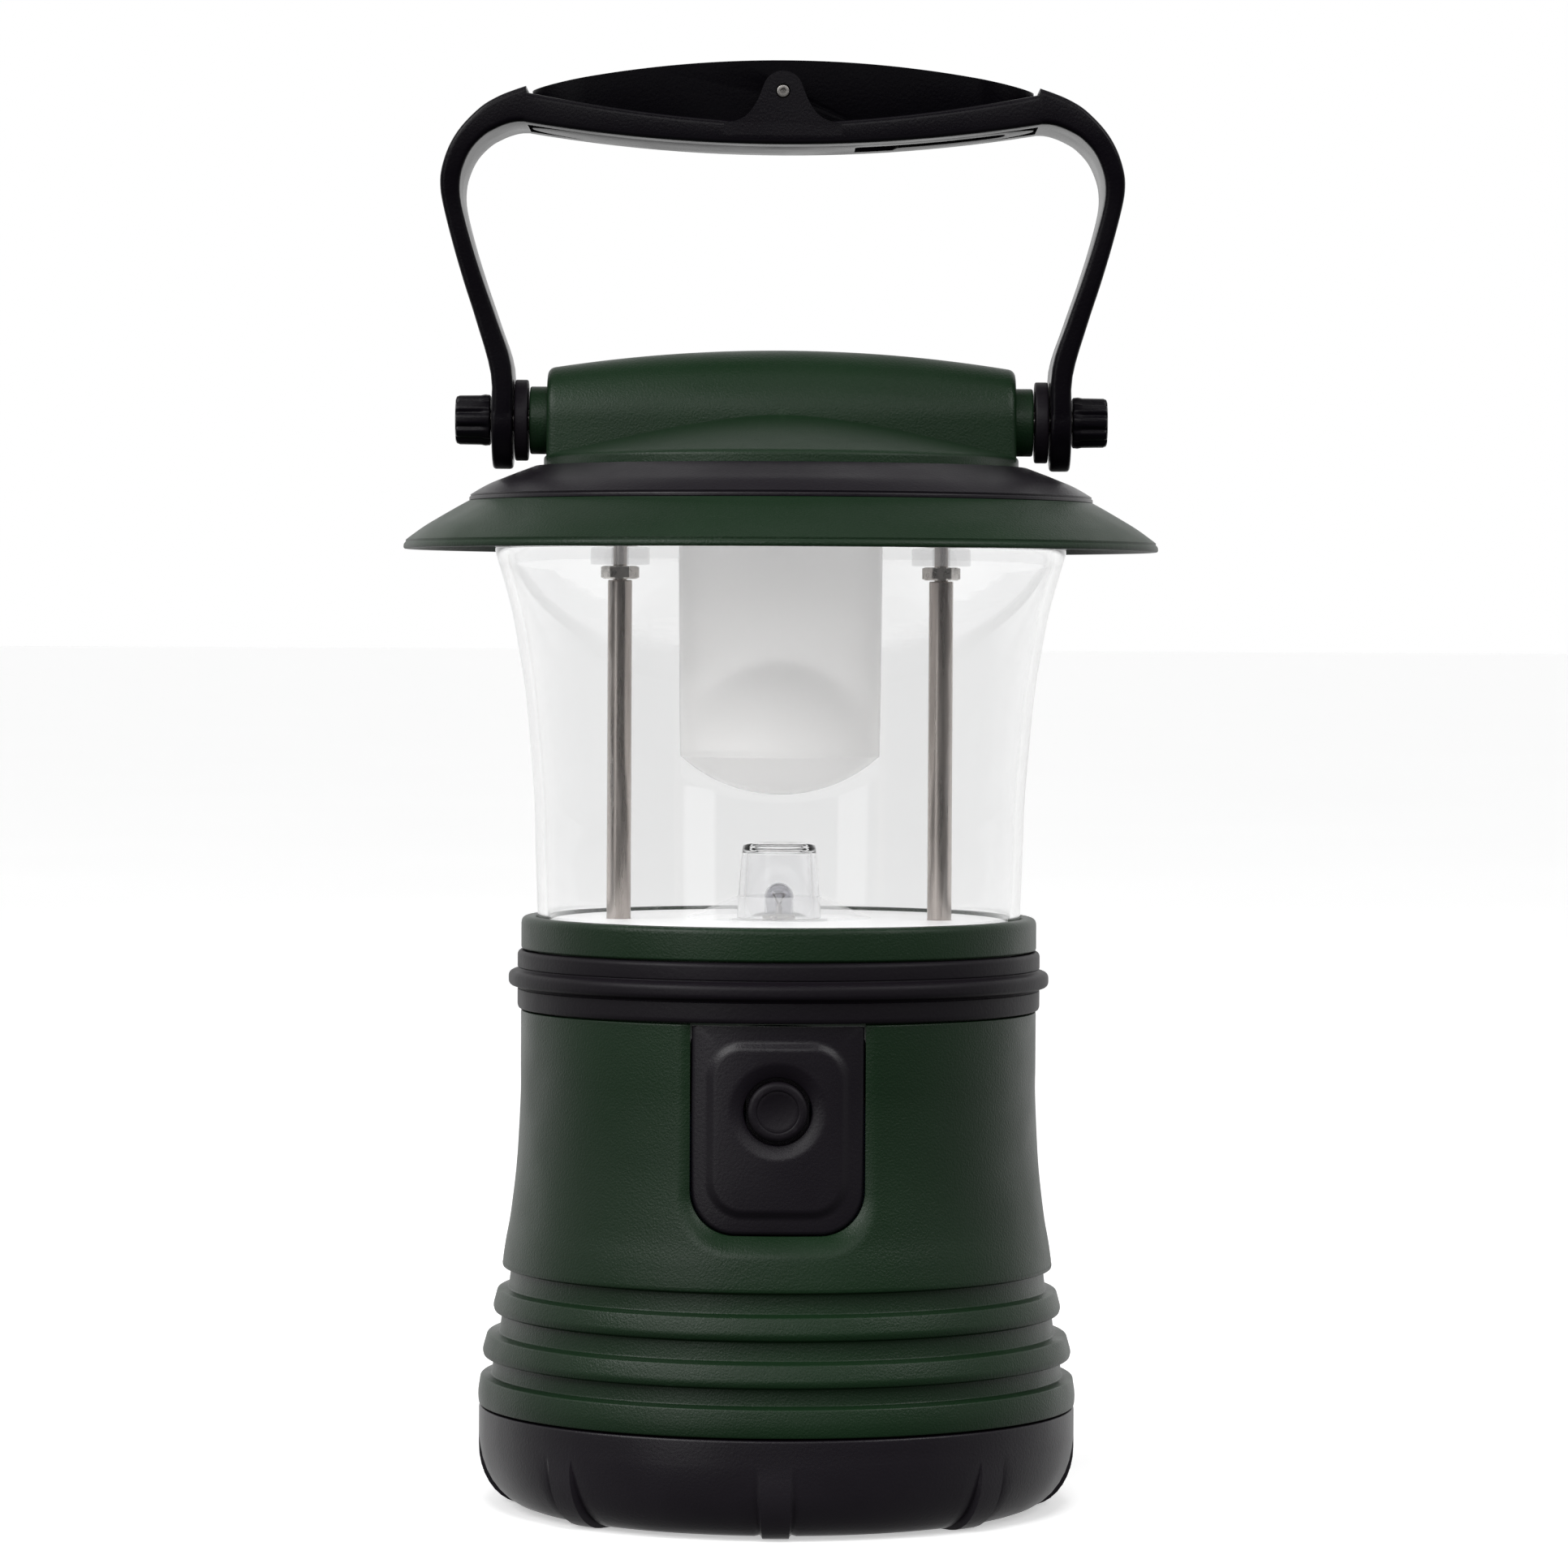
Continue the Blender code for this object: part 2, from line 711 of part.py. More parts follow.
def grip_under(x):
    return 48.85 + 3.85 * (abs(x) / 46.5) ** 2


def bail_station(outer, inner, depth):
    """Four-cornered cross-section of the bail between its outer and inner edges."""
    half = depth / 2
    return [
        (outer[0], -half, PIVOT_Z + outer[1]), (outer[0], half, PIVOT_Z + outer[1]),
        (inner[0], half, PIVOT_Z + inner[1]), (inner[0], -half, PIVOT_Z + inner[1]),
    ]


def bail_side():
    """Outer edge, inner edge and depth at each station from the eye to the grip."""
    outer = [
        (52.0, 0.0), (52.0, 8.0), (54.7, 17.4), (58.9, 31.2), (61.1, 41.5), (60.8, 44.6),
        (59.5, 48.4), (57.0, 52.4), (53.0, 55.9), (48.5, 58.1), (46.0, 59.0),
    ]
    inner = [
        (48.3, 0.0), (48.3, 9.5), (50.9, 17.4), (55.5, 31.2), (57.4, 40.0), (57.2, 43.6),
        (56.4, 46.2), (54.7, 48.8), (52.0, 51.0), (48.6, 52.4), (46.0, 52.65),
    ]
    depth = [17.4, 18.0, 21.0, 25.0, 27.0, 27.6, 27.8, 28.0, 28.0, 28.0, 28.0]
    return list(zip(outer, inner, depth))


def lug_outline():
    """Ear that stands up around the hook pin, with hollow flanks."""
    top = arc(0.0, PIN_H, 3.5, 25, 155, 6)
    left = [(-4.6, 56.2), (-6.4, 54.2), (-8.8, 53.0), (-8.8, 50.5)]
    right = [(8.8, 50.5), (8.8, 53.0), (6.4, 54.2), (4.6, 56.2)]
    return [(x, PIVOT_Z + h) for x, h in right + top + left]


def build_bail(plastic):
    side = bail_side()
    sections = [bail_station(*station) for station in side]
    grip = []
    for step in range(9):
        x = 45.5 * (1 - step / 4)
        grip.append(bail_station((x, grip_top(x)), (x, grip_under(x)), GRIP_DEPTH))
    mirrored = []
    for outer, inner, depth in reversed(side):
        mirrored.append(bail_station((-outer[0], outer[1]), (-inner[0], inner[1]), depth))
    bail = loft("bail", sections + grip + mirrored, plastic)
    for sign in (-1, 1):
        eye = [(0, EYE_IN), (EYE_R, EYE_IN), (EYE_R, EYE_OUT), (0, EYE_OUT)]
        name = "eye_%d" % sign
        join(bail, lathe_along(name, eye, plastic, (0, 0, PIVOT_Z), (sign, 0, 0), MEDIUM))
        half = GRIP_DEPTH / 2
        low, high = sorted((sign * half, sign * (half - RAIL_T)))
        join(bail, prism("lug_%d" % sign, lug_outline(), low, high, plastic))
    slot_half = GRIP_DEPTH / 2 - RAIL_T
    slot = box("hook_slot", (-SLOT_END, -slot_half, PIVOT_Z + 45), (SLOT_END, slot_half, PIVOT_Z + 70),
               plastic)
    cut(bail, slot)
    for sign in (-1, 1):
        bore = [(0, 46), (SCREW_R + GAP, 46), (SCREW_R + GAP, 54), (0, 54)]
        cut(bail, lathe_along("eye_bore_%d" % sign, bore, plastic, (0, 0, PIVOT_Z), (sign, 0, 0)))
    pin = [(0, -20), (PIN_R + GAP, -20), (PIN_R + GAP, 20), (0, 20)]
    cut(bail, lathe_along("pin_bore", pin, plastic, (0, 0, PIVOT_Z + PIN_H), (0, 1, 0)))
    return bail


def build_hook(plastic):
    """Bar that folds flat into the grip and swings up about its middle."""
    top = []
    under = []
    for step in range(13):
        x = HOOK_HALF * (1 - step / 6)
        share = abs(x) / HOOK_HALF
        top.append((x, PIVOT_Z + 64.3 - 5.1 * share ** 2))
        under.append((-x, PIVOT_Z + grip_under(x)))
    hook = prism("hang_hook", top + under, -HOOK_WIDTH / 2, HOOK_WIDTH / 2, plastic)
    half = HOOK_WIDTH / 2 + 0.5
    plan = []
    for step in range(9):
        angle = math.radians(-90 + 180 * step / 8)
        plan.append((33.0 + 12.6 * math.cos(angle), half * math.sin(angle)))
    plan += [(-x, -y) for x, y in plan]
    shape = prism("hook_plan", plan, PIVOT_Z + 40, PIVOT_Z + 70, plastic, plane="XY")
    combine(hook, shape, "INTERSECT")
    throat = [(13, -3.2), (38, -3.2), (40, -1.2), (40, 1.4), (38, 3.2), (22, 3.2), (20, 10), (13, 10)]
    cut(hook, prism("throat", throat, PIVOT_Z + 40, PIVOT_Z + 70, plastic, plane="XY"))
    pin = [(0, -12), (PIN_R + GAP, -12), (PIN_R + GAP, 12), (0, 12)]
    cut(hook, lathe_along("hook_bore", pin, plastic, (0, 0, PIVOT_Z + PIN_H), (0, 1, 0)))
    shift_origin(hook, (0, 0, PIVOT_Z + PIN_H))
    return hook


def build_hook_pin(steel):
    profile = [(0, -13.9), (PIN_R, -13.9), (PIN_R, 13.9), (0, 13.9)]
    return lathe_along("hook_pin", profile, steel, (0, 0, PIVOT_Z + PIN_H), (0, 1, 0))


# ---------------------------------------------------------------- assembly

def build_all():
    clear_scene()
    green = make_material("green_plastic", (0.012, 0.045, 0.022), 0.45)
    black = make_material("black_plastic", (0.014, 0.011, 0.014), 0.42)
    rubber = make_material("black_rubber", (0.018, 0.015, 0.017), 0.6)
    clear = make_material("clear_plastic", (0.93, 0.95, 0.95), 0.05, alpha=0.25)
    frosted = make_material("frosted_plastic", (0.82, 0.83, 0.84), 0.5, alpha=0.8)
    white = make_material("white_plastic", (0.8, 0.8, 0.8), 0.5)
    silver = make_material("silvered_plastic", (0.85, 0.85, 0.86), 0.15, metallic=1.0)
    steel = make_material("bright_steel", (0.6, 0.58, 0.55), 0.3, metallic=1.0)
    nickel = make_material("nickel_rod", (0.42, 0.38, 0.34), 0.35, metallic=1.0)
    brass = make_material("brass", (0.75, 0.6, 0.3), 0.35, metallic=1.0)
    board = make_material("contact_board", (0.16, 0.07, 0.03), 0.6)
    wrap = make_material("cell_wrap", (0.04, 0.05, 0.08), 0.35)

    build_base_cap(black)
    build_cap_seal(rubber)
    build_contact_disc(board)
    build_disc_clip(steel)
    build_lower_strip("lower_strip_left", -1, brass)
    build_lower_strip("lower_strip_right", 1, brass)
    places = [(-1, -1), (1, -1), (-1, 1), (1, 1)]
    for number, (sx, sy) in enumerate(places, start=1):
        x = sx * CELL_OFFSET
        y = sy * CELL_OFFSET
        build_spring("contact_spring_%d" % number, x, y, steel)
        build_cell(number, x, y, number in (1, 4), wrap)

    build_housing(green)
    build_switch_panel(black)
    build_switch_button(rubber)
    build_switch_body(white)
    build_cell_divider(black)
    build_upper_bridge(brass)
    build_terminal("terminal_left", -CELL_OFFSET, -CELL_OFFSET, brass)
    build_terminal("terminal_right", CELL_OFFSET, -CELL_OFFSET, brass)
    build_bumper_band(rubber)
    build_neck_collar(green)

    build_reflector_plate(white)
    build_globe(clear)
    build_bulb_guard(clear)
    build_bulb_socket(white)
    build_bulb_base(brass)
    build_bulb_envelope(clear)
    build_bulb_filament(steel)
    for side, label in ((-1, "left"), (1, "right")):
        build_rod("rod_" + label, side, nickel)
        build_rod_nut("rod_top_nut_" + label, side, 167.2, steel)
        build_rod_nut("rod_base_nut_" + label, side, 99.4, steel)
    build_diffuser(frosted)
    build_diffuser_dome(white)
    build_hood_liner(silver)

    build_hood_brim(green)
    build_hood_ring(black)
    build_hood_saddle(green)
    build_hood_core(black)
    build_bail(black)
    build_hook(black)
    build_hook_pin(steel)
    for side, label in ((-1, "left"), (1, "right")):
        build_pivot_screw("pivot_screw_" + label, side, steel)
        build_friction_washer("friction_washer_" + label, side, rubber)
        build_knob("knob_" + label, side, black)


build_all()
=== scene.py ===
import math

import bmesh
import bpy
from mathutils import Matrix, Vector


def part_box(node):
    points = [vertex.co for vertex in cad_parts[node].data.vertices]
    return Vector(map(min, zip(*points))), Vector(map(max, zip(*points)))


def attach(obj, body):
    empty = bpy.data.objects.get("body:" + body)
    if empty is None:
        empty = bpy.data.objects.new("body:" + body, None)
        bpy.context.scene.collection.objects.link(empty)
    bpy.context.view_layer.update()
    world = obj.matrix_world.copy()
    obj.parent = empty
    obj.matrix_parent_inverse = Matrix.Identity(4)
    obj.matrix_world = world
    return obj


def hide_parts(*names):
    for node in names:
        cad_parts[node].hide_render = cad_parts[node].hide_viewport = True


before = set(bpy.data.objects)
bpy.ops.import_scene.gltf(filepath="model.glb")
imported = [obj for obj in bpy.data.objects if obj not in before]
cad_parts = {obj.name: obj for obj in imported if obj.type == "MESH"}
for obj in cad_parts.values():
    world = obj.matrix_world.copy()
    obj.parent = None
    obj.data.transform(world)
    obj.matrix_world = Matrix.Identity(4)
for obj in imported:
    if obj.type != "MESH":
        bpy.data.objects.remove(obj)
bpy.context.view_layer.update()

# Sizes are in millimetres; loose() scales them to metres.
MM = 0.001
# Columns of a large turned piece, and the turn in degrees from which an edge stays sharp.
FINE = 144
CREASE = 32.0

# Camera, in metres: about 1.1 m in front of the lantern and a little above its middle.
CAMERA_DISTANCE = 1.138
CAMERA_HEIGHT = 0.1588
CAMERA_SIDE = 0.00080
AIM_HEIGHT = 0.1302
ROLL = math.radians(0.30)
FRAME_WIDTH = 0.2833

# Heights on the bail are measured from its pivot axis, which is EYE_R above its lowest point.
EYE_R = 8.8
PIVOT_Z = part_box("bail")[0].z / MM + EYE_R
PIN_H = 58.35
PIVOT_BORE = 2.2

ROD_X = 29.0
SIDES = ((-1, "left"), (1, "right"))


# ---------------------------------------------------------------- mesh tools

def shade(bm, sharp):
    """Shade smoothly, except across edges that turn by more than an angle in degrees."""
    limit = math.radians(sharp)
    for face in bm.faces:
        face.smooth = True
    for edge in bm.edges:
        edge.smooth = edge.calc_face_angle(0.0) < limit


def loose(name, bm, sharp=180.0):
    """Clean a bmesh in millimetres and link it as an object in metres, as for a Boolean."""
    bmesh.ops.remove_doubles(bm, verts=bm.verts, dist=1e-4)
    bmesh.ops.recalc_face_normals(bm, faces=bm.faces)
    bmesh.ops.scale(bm, vec=(MM, MM, MM), verts=bm.verts)
    shade(bm, sharp)
    mesh = bpy.data.meshes.new(name)
    bm.to_mesh(mesh)
    bm.free()
    made = bpy.data.objects.new(name, mesh)
    bpy.context.scene.collection.objects.link(made)
    return made


def place(name, bm, material, body, nodes, sharp=CREASE):
    """Turn a bmesh in millimetres into a finished piece on its body."""
    piece = loose(name, bm, sharp)
    piece.data.materials.append(material)
    if body:
        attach(piece, body)
        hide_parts(*nodes)
    return piece


def rounded(points, steps=4):
    """Round each (a, b, fillet) corner of a closed outline with a short curve."""
    path = []
    count = len(points)
    for index, point in enumerate(points):
        corner = Vector(point[:2])
        if len(point) < 3:
            path.append(tuple(corner))
            continue
        before = Vector(points[index - 1][:2]) - corner
        after = Vector(points[(index + 1) % count][:2]) - corner
        reach = min(point[2], before.length * 0.49, after.length * 0.49)
        start = corner + before.normalized() * reach
        end = corner + after.normalized() * reach
        for step in range(steps + 1):
            t = step / steps
            spot = start * (1 - t) ** 2 + corner * 2 * t * (1 - t) + end * t * t
            path.append(tuple(spot))
    return path


def spline(points, steps):
    """Smooth open curve through a few points."""
    path = []
    last = len(points) - 1
    for index in range(last):
        p0 = Vector(points[max(index - 1, 0)])
        p1 = Vector(points[index])
        p2 = Vector(points[index + 1])
        p3 = Vector(points[min(index + 2, last)])
        for step in range(steps):
            t = step / steps
            path.append(tuple(0.5 * (2 * p1 + (p2 - p0) * t
                                     + (2 * p0 - 5 * p1 + 4 * p2 - p3) * t * t
                                     + (3 * p1 - p0 - 3 * p2 + p3) * t ** 3)))
    path.append(tuple(points[-1]))
    return path


def even_angles(count):
    return [2 * math.pi * step / count for step in range(count)]


def revolve(profile, angles, warp=None):
    """Turn a closed (radius, z) outline about Z, bent by warp(angle, r, z, index)."""
    bm = bmesh.new()
    columns = []
    for angle in angles:
        column = []
        for index, (radius, z) in enumerate(profile):
            if warp:
                radius, z = warp(angle, radius, z, index)
            column.append(bm.verts.new((radius * math.cos(angle), radius * math.sin(angle), z)))
        columns.append(column)
    count = len(profile)
    for step, here in enumerate(columns):
        after = columns[(step + 1) % len(columns)]
        for index in range(count):
            following = (index + 1) % count
            inner = profile[index][0] < 1e-6
            outer = profile[following][0] < 1e-6
            if inner and outer:
                continue
            corners = [here[index], here[following]]
            if not outer:
                corners.append(after[following])
            if not inner:
                corners.append(after[index])
            bm.faces.new(corners)
    return bm


def aim(bm, origin, axis):
    """Point a revolved bmesh along an axis from an origin."""
    turn = Vector(axis).to_track_quat("Z", "Y").to_matrix().to_4x4()
    bmesh.ops.transform(bm, matrix=Matrix.Translation(Vector(origin)) @ turn, verts=bm.verts)
    return bm


def cylinder(radius, low, high):
    """Profile of a plain cylinder."""
    return [(0, low), (radius, low), (radius, high), (0, high)]


def on_rod(profile, count, side):
    """Turn a profile about the axis of the guard rod on one side."""
    bm = revolve(profile, even_angles(count))
    bmesh.ops.translate(bm, vec=(side * ROD_X, 0, 0), verts=bm.verts)
    return bm


def on_pivot(profile, count, side):
    """Turn a profile about the bail's pivot axis, outward to one side."""
    return aim(revolve(profile, even_angles(count)), (0, 0, PIVOT_Z), (side, 0, 0))


def on_pin(profile):
    """Turn a profile about the axis of the hook pin."""
    return aim(revolve(profile, even_angles(32)), (0, 0, PIVOT_Z + PIN_H), (0, 1, 0))


def skin(rings, closed=False):
    """Join equal rings of points into a surface, capped or closed upon itself."""
    bm = bmesh.new()
    made = [[bm.verts.new(point) for point in ring] for ring in rings]
    count = len(rings[0])
    pairs = list(zip(made, made[1:]))
    if closed:
        pairs.append((made[-1], made[0]))
    for ring, following in pairs:
        for index in range(count):
            after = (index + 1) % count
            bm.faces.new((ring[index], ring[after], following[after], following[index]))
    if not closed:
        bm.faces.new(made[0])
        bm.faces.new(made[-1])
    return bm


def extrude(outline, low, high, plane="XZ"):
    """Closed outline as a prism along Y (XZ) or along Z (XY)."""
    rings = []
    for depth in (low, high):
        ring = []
        for a, b in outline:
            ring.append((a, depth, b) if plane == "XZ" else (a, b, depth))
        rings.append(ring)
    return skin(rings)


def tube(path, radius, sides):
    """Round wire along a path of points."""
    rings = []
    for index, point in enumerate(path):
        here = Vector(point)
        ahead = Vector(path[min(index + 1, len(path) - 1)])
        behind = Vector(path[max(index - 1, 0)])
        turn = (ahead - behind).to_track_quat("Z", "Y")
        ring = []
        for side in range(sides):
            angle = 2 * math.pi * side / sides
            offset = Vector((radius * math.cos(angle), radius * math.sin(angle), 0))
            ring.append(tuple(here + turn @ offset))
        rings.append(ring)
    return skin(rings)


def add_part(bm, other):
    """Copy another bmesh into this one."""
    mesh = bpy.data.meshes.new("part")
    other.to_mesh(mesh)
    other.free()
    bm.from_mesh(mesh)
    bpy.data.meshes.remove(mesh)


def carve(piece, steps, bevel=0.0):
    """Apply Booleans with helper meshes, then an optional edge round, and drop the helpers."""
    for operation, helper in steps:
        modifier = piece.modifiers.new(operation, "BOOLEAN")
        modifier.operation = operation
        modifier.solver = "EXACT"
        modifier.object = helper
    if bevel:
        modifier = piece.modifiers.new("edge_round", "BEVEL")
        modifier.width = bevel * MM
        modifier.segments = 3
        modifier.limit_method = "ANGLE"
        modifier.angle_limit = math.radians(40)
        modifier.harden_normals = False
    graph = bpy.context.evaluated_depsgraph_get()
    graph.update()
    made = bpy.data.meshes.new_from_object(piece.evaluated_get(graph))
    piece.modifiers.clear()
    old = piece.data
    material = old.materials[0]
    piece.data = made
    made.materials.clear()
    made.materials.append(material)
    bpy.data.meshes.remove(old)
    for _, helper in steps:
        bpy.data.objects.remove(helper)
    bm = bmesh.new()
    bm.from_mesh(made)
    for face in bm.faces:
        face.material_index = 0
    shade(bm, CREASE)
    bm.to_mesh(made)
    bm.free()


# ---------------------------------------------------------------- materials

def node(tree, kind, **inputs):
    made = tree.nodes.new(kind)
    for key, value in inputs.items():
        made.inputs[key.replace("_", " ")].default_value = value
    return made


def noise(tree, coords, scale, detail=3.0, rough=0.5):
    made = node(tree, "ShaderNodeTexNoise", Scale=scale, Detail=detail, Roughness=rough)
    tree.links.new(coords, made.inputs["Vector"])
    return made.outputs["Fac"]


def spread(tree, source, low, high, start=0.3, end=0.7):
    """Map a noise onto a value range."""
    made = node(tree, "ShaderNodeMapRange", From_Min=start, From_Max=end, To_Min=low, To_Max=high)
    tree.links.new(source, made.inputs["Value"])
    return made.outputs["Result"]


def two_tone(tree, source, dark, light, start=0.35, end=0.65):
    ramp = tree.nodes.new("ShaderNodeValToRGB")
    ramp.color_ramp.elements[0].position = start
    ramp.color_ramp.elements[0].color = (*dark, 1)
    ramp.color_ramp.elements[1].position = end
    ramp.color_ramp.elements[1].color = (*light, 1)
    tree.links.new(source, ramp.inputs["Fac"])
    return ramp.outputs["Color"]


def relief(tree, source, strength, distance):
    bump = node(tree, "ShaderNodeBump", Strength=strength, Distance=distance)
    tree.links.new(source, bump.inputs["Height"])
    return bump.outputs["Normal"]


def blend(tree, share, base, colour):
    """Lay a plain colour over a base colour."""
    mix = tree.nodes.new("ShaderNodeMixRGB")
    mix.inputs["Color2"].default_value = (*colour, 1)
    tree.links.new(share, mix.inputs["Fac"])
    tree.links.new(base, mix.inputs["Color1"])
    return mix.outputs["Color"]


def glow_white(shader, strength):
    shader.inputs["Emission Color"].default_value = (1, 1, 1, 1)
    shader.inputs["Emission Strength"].default_value = strength


def start_material(name):
    material = bpy.data.materials.new(name)
    material.use_nodes = True
    tree = material.node_tree
    shader = tree.nodes["Principled BSDF"]
    coords = tree.nodes.new("ShaderNodeTexCoord").outputs["Object"]
    return material, tree, shader, coords


def moulded(name, colour, rough, grain=2000.0, grain_depth=0.00012, grain_strength=0.35,
            variation=0.12, wear=0.25, specular=0.5, glow=0.0):
    """Moulded plastic: fine grain, drifting gloss, faint colour drift, paler worn edges and an optional
    white glow that is painted light.
    """
    material, tree, shader, coords = start_material(name)
    drift = noise(tree, coords, 22.0, 4.0)
    dark = tuple(channel * (1 - variation) for channel in colour)
    light = tuple(channel * (1 + variation) for channel in colour)
    base = two_tone(tree, drift, dark, light)
    edges = tree.nodes.new("ShaderNodeNewGeometry").outputs["Pointiness"]
    rub = spread(tree, edges, 0.0, wear, 0.53, 0.60)
    worn = tuple(min(1.0, channel * 1.6 + 0.012) for channel in colour)
    tree.links.new(blend(tree, rub, base, worn), shader.inputs["Base Color"])
    gloss = spread(tree, noise(tree, coords, 60.0, 5.0), rough - 0.05, rough + 0.06)
    tree.links.new(gloss, shader.inputs["Roughness"])
    shader.inputs["Specular IOR Level"].default_value = specular
    glow_white(shader, glow)
    grit = noise(tree, coords, grain, 2.0)
    tree.links.new(relief(tree, grit, grain_strength, grain_depth), shader.inputs["Normal"])
    return material


def paint_floor_bounce(material, colour, level):
    """Painted light from the floor's bounce: pale the base colour toward the ground, in patches, below a
    level in metres.
    """
    tree = material.node_tree
    shader = tree.nodes["Principled BSDF"]
    coords = tree.nodes.new("ShaderNodeTexCoord").outputs["Object"]
    split = tree.nodes.new("ShaderNodeSeparateXYZ")
    tree.links.new(coords, split.inputs["Vector"])
    near_ground = spread(tree, split.outputs["Z"], 1.0, 0.0, 0.0, level)
    patches = spread(tree, noise(tree, coords, 90.0, 4.0), 0.75, 1.0)
    share = tree.nodes.new("ShaderNodeMath")
    share.operation = "MULTIPLY"
    tree.links.new(near_ground, share.inputs[0])
    tree.links.new(patches, share.inputs[1])
    base = shader.inputs["Base Color"].links[0].from_socket
    pale = blend(tree, share.outputs["Value"], base, colour)
    tree.links.new(pale, shader.inputs["Base Color"])


def sheen_at_edges(material, facing, grazing):
    """Keep the gloss low face on and let it rise where the surface turns away."""
    tree = material.node_tree
    turned_away = node(tree, "ShaderNodeLayerWeight", Blend=0.5).outputs["Facing"]
    level = spread(tree, turned_away, facing, grazing, 0.6, 0.9)
    tree.links.new(level, tree.nodes["Principled BSDF"].inputs["Specular IOR Level"])


def clear_plastic(name, tint, ior=1.46):
    """Polished clear moulding with a faint flow ripple and fine scuffs."""
    material, tree, shader, coords = start_material(name)
    shader.inputs["Base Color"].default_value = (*tint, 1)
    shader.inputs["Transmission Weight"].default_value = 1.0
    shader.inputs["IOR"].default_value = ior
    scuff = spread(tree, noise(tree, coords, 300.0, 6.0), 0.015, 0.065, 0.5, 0.8)
    tree.links.new(scuff, shader.inputs["Roughness"])
    ripple = noise(tree, coords, 45.0, 1.0)
    tree.links.new(relief(tree, ripple, 0.05, 0.0003), shader.inputs["Normal"])
    return material


def metal(name, colour, rough, stretch=(1, 1, 1), scale=900.0, depth=0.00003, dark=0.8):
    """Drawn or plated metal with fine lines along its length."""
    material, tree, shader, coords = start_material(name)
    mapping = tree.nodes.new("ShaderNodeMapping")
    mapping.inputs["Scale"].default_value = stretch
    tree.links.new(coords, mapping.inputs["Vector"])
    lines = noise(tree, mapping.outputs["Vector"], scale, 4.0, 0.6)
    shade = tuple(channel * dark for channel in colour)
    tree.links.new(two_tone(tree, lines, shade, colour), shader.inputs["Base Color"])
    shader.inputs["Metallic"].default_value = 1.0
    tree.links.new(spread(tree, lines, rough - 0.06, rough + 0.1), shader.inputs["Roughness"])
    tree.links.new(relief(tree, lines, 0.25, depth), shader.inputs["Normal"])
    return material


def frosted(name, colour, rough, glow, see):
    """Translucent satin moulding: a share of the light passes, softened, with an optional white glow that
    is painted light.
    """
    material, tree, shader, coords = start_material(name)
    cloud = noise(tree, coords, 30.0, 3.0)
    dim = tuple(channel * 0.985 for channel in colour)
    tree.links.new(two_tone(tree, cloud, dim, colour), shader.inputs["Base Color"])
    shader.inputs["Transmission Weight"].default_value = see
    shader.inputs["IOR"].default_value = 1.25
    glow_white(shader, glow)
    satin = spread(tree, noise(tree, coords, 500.0), rough, rough + 0.08)
    tree.links.new(satin, shader.inputs["Roughness"])
    return material


BLACK_TINT = (0.0056, 0.0036, 0.0070)
# Pale tint and top level, in metres, of the painted floor-bounce light on the base cap.
FLOOR_BOUNCE_TINT = (0.028, 0.024, 0.031)
CAP_BOUNCE_TOP = 0.016

GREEN = moulded("green_moulded", (0.0048, 0.0210, 0.0065), 0.42, grain=2600.0,
                grain_depth=0.00014, grain_strength=0.6, specular=0.47)
BLACK = moulded("black_moulded", BLACK_TINT, 0.40, specular=0.55)
# The base cap's black is paled toward the ground by painted light from the floor's bounce.
CAP_BLACK = moulded("cap_black", BLACK_TINT, 0.40, specular=0.55)
paint_floor_bounce(CAP_BLACK, FLOOR_BOUNCE_TINT, CAP_BOUNCE_TOP)
GRIP_BLACK = moulded("grip_black", (0.0018, 0.0010, 0.0027), 0.32, specular=0.24)
HOOK_BLACK = moulded("hook_black", (0.0008, 0.0005, 0.0014), 0.36, grain_strength=0.4)
sheen_at_edges(HOOK_BLACK, 0.06, 0.22)
RUBBER = moulded("black_rubber", (0.0060, 0.0042, 0.0070), 0.50, grain=1500.0, specular=0.32)
WHITE = moulded("white_moulded", (0.80, 0.80, 0.80), 0.35, variation=0.02, wear=0.0)
# The white plate glows: painted light that stands in for the light it misses under the hood.
PLATE = moulded("white_plate", (0.86, 0.86, 0.86), 0.35, variation=0.02, wear=0.0, glow=0.27)
CLEAR = clear_plastic("clear_globe", (0.947, 0.948, 0.948))
CLEAR_SMALL = clear_plastic("clear_guard", (0.985, 0.985, 0.99), 1.38)
# The clear skirt glows faintly: painted light that keeps it pale.
SKIRT = moulded("clear_skirt", (0.90, 0.90, 0.91), 0.2, variation=0.02, wear=0.0,
                grain_strength=0.05, glow=0.05)
SKIRT.node_tree.nodes["Principled BSDF"].inputs["Alpha"].default_value = 0.21
GLASS = clear_plastic("bulb_glass", (0.70, 0.70, 0.72), 1.5)
# The diffuser glows faintly: painted light for the brightness it would take from its surroundings.
FROSTED = frosted("frosted_diffuser", (0.95, 0.945, 0.94), 0.40, 0.09, 0.60)
DOME = frosted("frosted_dome", (0.66, 0.655, 0.65), 0.40, 0.0, 0.25)
SILVER = metal("silvered_liner", (0.88, 0.88, 0.90), 0.22, scale=120.0, depth=0.00001, dark=0.96)
NICKEL = metal("nickel_rod", (0.53, 0.48, 0.45), 0.28, stretch=(1, 1, 0.05))
STEEL = metal("plated_steel", (0.55, 0.525, 0.50), 0.28)
BRASS = metal("stamped_brass", (0.72, 0.55, 0.26), 0.34)
BOARD = moulded("phenolic_board", (0.16, 0.07, 0.03), 0.5, variation=0.2)
JACKET = moulded("cell_jacket", (0.035, 0.05, 0.09), 0.3, grain_strength=0.1)


# ---------------------------------------------------------------- base cap

